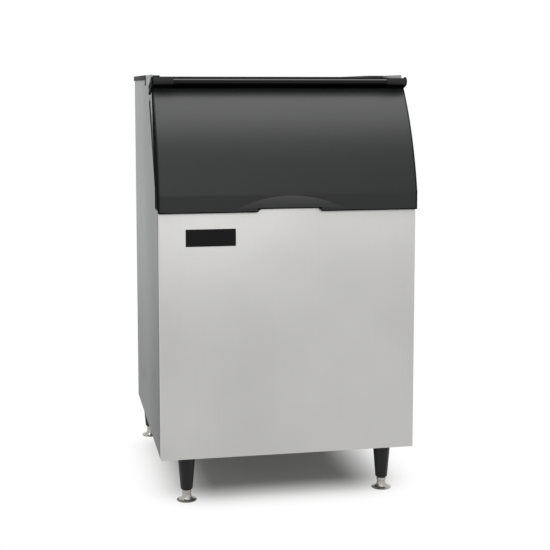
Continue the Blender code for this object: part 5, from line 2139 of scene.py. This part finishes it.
@dataclass
class Drain:
    """Drain fitting through the floor, its nut and the lift-out strainer."""

    fitting_edge: Edge = Edge(0.0007)
    nut_edge: Edge = Edge(0.0010)
    strainer_edge: Edge = Edge(0.0003, 2)

    def build(self) -> None:
        """Builds the drain."""
        refined("drain_fitting", FITTING, self.fitting_edge)
        refined("drain_nut", FITTING, self.nut_edge)
        refined("drain_strainer", STRAINER, self.strainer_edge, "strainer")


@dataclass(frozen=True)
class Lamp:
    """A soft rectangular lamp: where it hangs and points, its size and its power in watts."""

    name: str
    place: Place
    target: Place
    size: Point
    power: float

    def hang(self) -> None:
        """Adds the lamp to the scene."""
        data = bpy.data.lights.new(self.name, "AREA")
        data.shape = "RECTANGLE"
        data.size, data.size_y = self.size
        data.energy = self.power
        item = bpy.data.objects.new(self.name, data)
        item.location = self.place
        way = Vector(self.target) - Vector(self.place)
        item.rotation_euler = way.to_track_quat("-Z", "Y").to_euler()
        bpy.context.scene.collection.objects.link(item)


@dataclass
class Studio:
    """Floor, lamps, white surroundings and the camera at the photograph's place.

    The picture's width, the focal length and the lens's rise are in pixels, the sensor in mm.
    """

    picture: float = 550.0
    focal: float = 1202.1
    sensor: float = 36.0
    yaw: float = math.radians(11.179)
    pitch: float = math.radians(-5.993)
    roll: float = math.radians(-0.002)
    camera_at: Place = (-0.7152, -3.7882, 1.2167)
    rise: float = -60.0
    floor_radius: float = 14.0
    floor_sides: int = 96
    floor_inset: float = 0.195
    floor_fade: float = 0.27
    # Floor colours near the bin, darkened as painted shade to deepen the bin's shadow.
    floor_shade_dark: Colour = (0.60, 0.59, 0.57)
    floor_shade_light: Colour = (0.63, 0.62, 0.60)
    ambient: float = 0.20
    lamps: tuple[Lamp, ...] = (
        Lamp("overhead", (-0.4, -0.65, 3.4), (-0.4, -0.651, 0.4), (4.2, 2.8), 114.0),
        Lamp("front", (-0.6, -4.6, 2.6), (0, 0, 0.7), (3.0, 2.4), 13.0),
    )

    def camera(self) -> None:
        """Sets up the camera."""
        data = bpy.data.cameras.new("camera")
        data.sensor_width = self.sensor
        data.lens = self.focal / self.picture * self.sensor
        data.shift_y = self.rise / self.picture
        item = bpy.data.objects.new("camera", data)
        bpy.context.scene.collection.objects.link(item)
        turn = Matrix.Rotation(-self.yaw, 3, "Z")
        turn = turn @ Matrix.Rotation(math.pi / 2 + self.pitch, 3, "X")
        turn = turn @ Matrix.Rotation(self.roll, 3, "Z")
        item.matrix_world = Matrix.Translation(self.camera_at) @ turn.to_4x4()
        bpy.context.scene.camera = item

    def seen(self, recipe: Recipe) -> Value:
        """Tells whether a ray comes from the camera, a reflection or through glass."""
        path = recipe.node("ShaderNodeLightPath").outputs
        rays = Value(recipe, path["Is Camera Ray"]) + Value(recipe, path["Is Glossy Ray"])
        rays = rays + Value(recipe, path["Is Transmission Ray"])
        return rays.math("MINIMUM", 1.0)

    def floor(self) -> None:
        """Adds the floor: near the bin a pale grey colour darkened as painted shade, which takes
        the bin's shadow, and plain white away from it.
        """
        shape = Shape()
        bmesh.ops.create_circle(
            shape.bm, cap_ends=True, segments=self.floor_sides, radius=self.floor_radius,
        )
        item = as_object(shape, "studio_floor")
        recipe = Recipe(bpy.data.materials.new("studio floor"))
        inset = self.floor_inset
        across = recipe.axis_of("X").math("ABSOLUTE") - (SIZES.half - inset)
        across = across.math("MAXIMUM", 0.0)
        deep = recipe.axis_of("Y").math("ABSOLUTE") + (SIZES.front_y + inset)
        deep = deep.math("MAXIMUM", 0.0)
        away = (across * across + deep * deep) ** 0.5
        # Painted shade: the floor's grey colour near the bin.
        colour = recipe.blend(recipe.noise(1.5, detail=2.0), self.floor_shade_dark, self.floor_shade_light)
        matt = recipe.node("ShaderNodeBsdfDiffuse", None, {"Color": colour})
        glow = recipe.node("ShaderNodeEmission", None, {"Color": WHITE, "Strength": 1.0})
        share = away.above(0.0, self.floor_fade) * self.seen(recipe)
        surface = recipe.mixed(share, matt.outputs[0], glow.outputs[0])
        item.data.materials.append(recipe.close(surface))

    def surroundings(self) -> None:
        """Makes the surroundings white to look at and dimmer as a light."""
        world = bpy.data.worlds.new("studio")
        bpy.context.scene.world = world
        recipe = Recipe(world)
        strength = self.ambient + (1.0 - self.ambient) * self.seen(recipe)
        feeds = {"Color": WHITE, "Strength": strength}
        back = recipe.node("ShaderNodeBackground", None, feeds)
        recipe.node("ShaderNodeOutputWorld", None, {"Surface": back.outputs[0]})

    def build(self) -> None:
        """Builds the studio."""
        self.camera()
        self.surroundings()
        self.floor()
        for lamp in self.lamps:
            lamp.hang()
        bpy.context.scene.view_settings.view_transform = "Standard"


def main() -> None:
    """Builds every sub-assembly in order."""
    logging.basicConfig(level=logging.INFO, format="%(name)s %(message)s")
    parts = (
        Cabinet(), Storage(), OpeningTrim(), Hinge(), DoorShell(), DoorSeal(), Rail(), Legs(),
        Drain(), Studio(),
    )
    for part in parts:
        LOG.info("building %s", type(part).__name__)
        part.build()


if __name__ == "__main__":
    main()
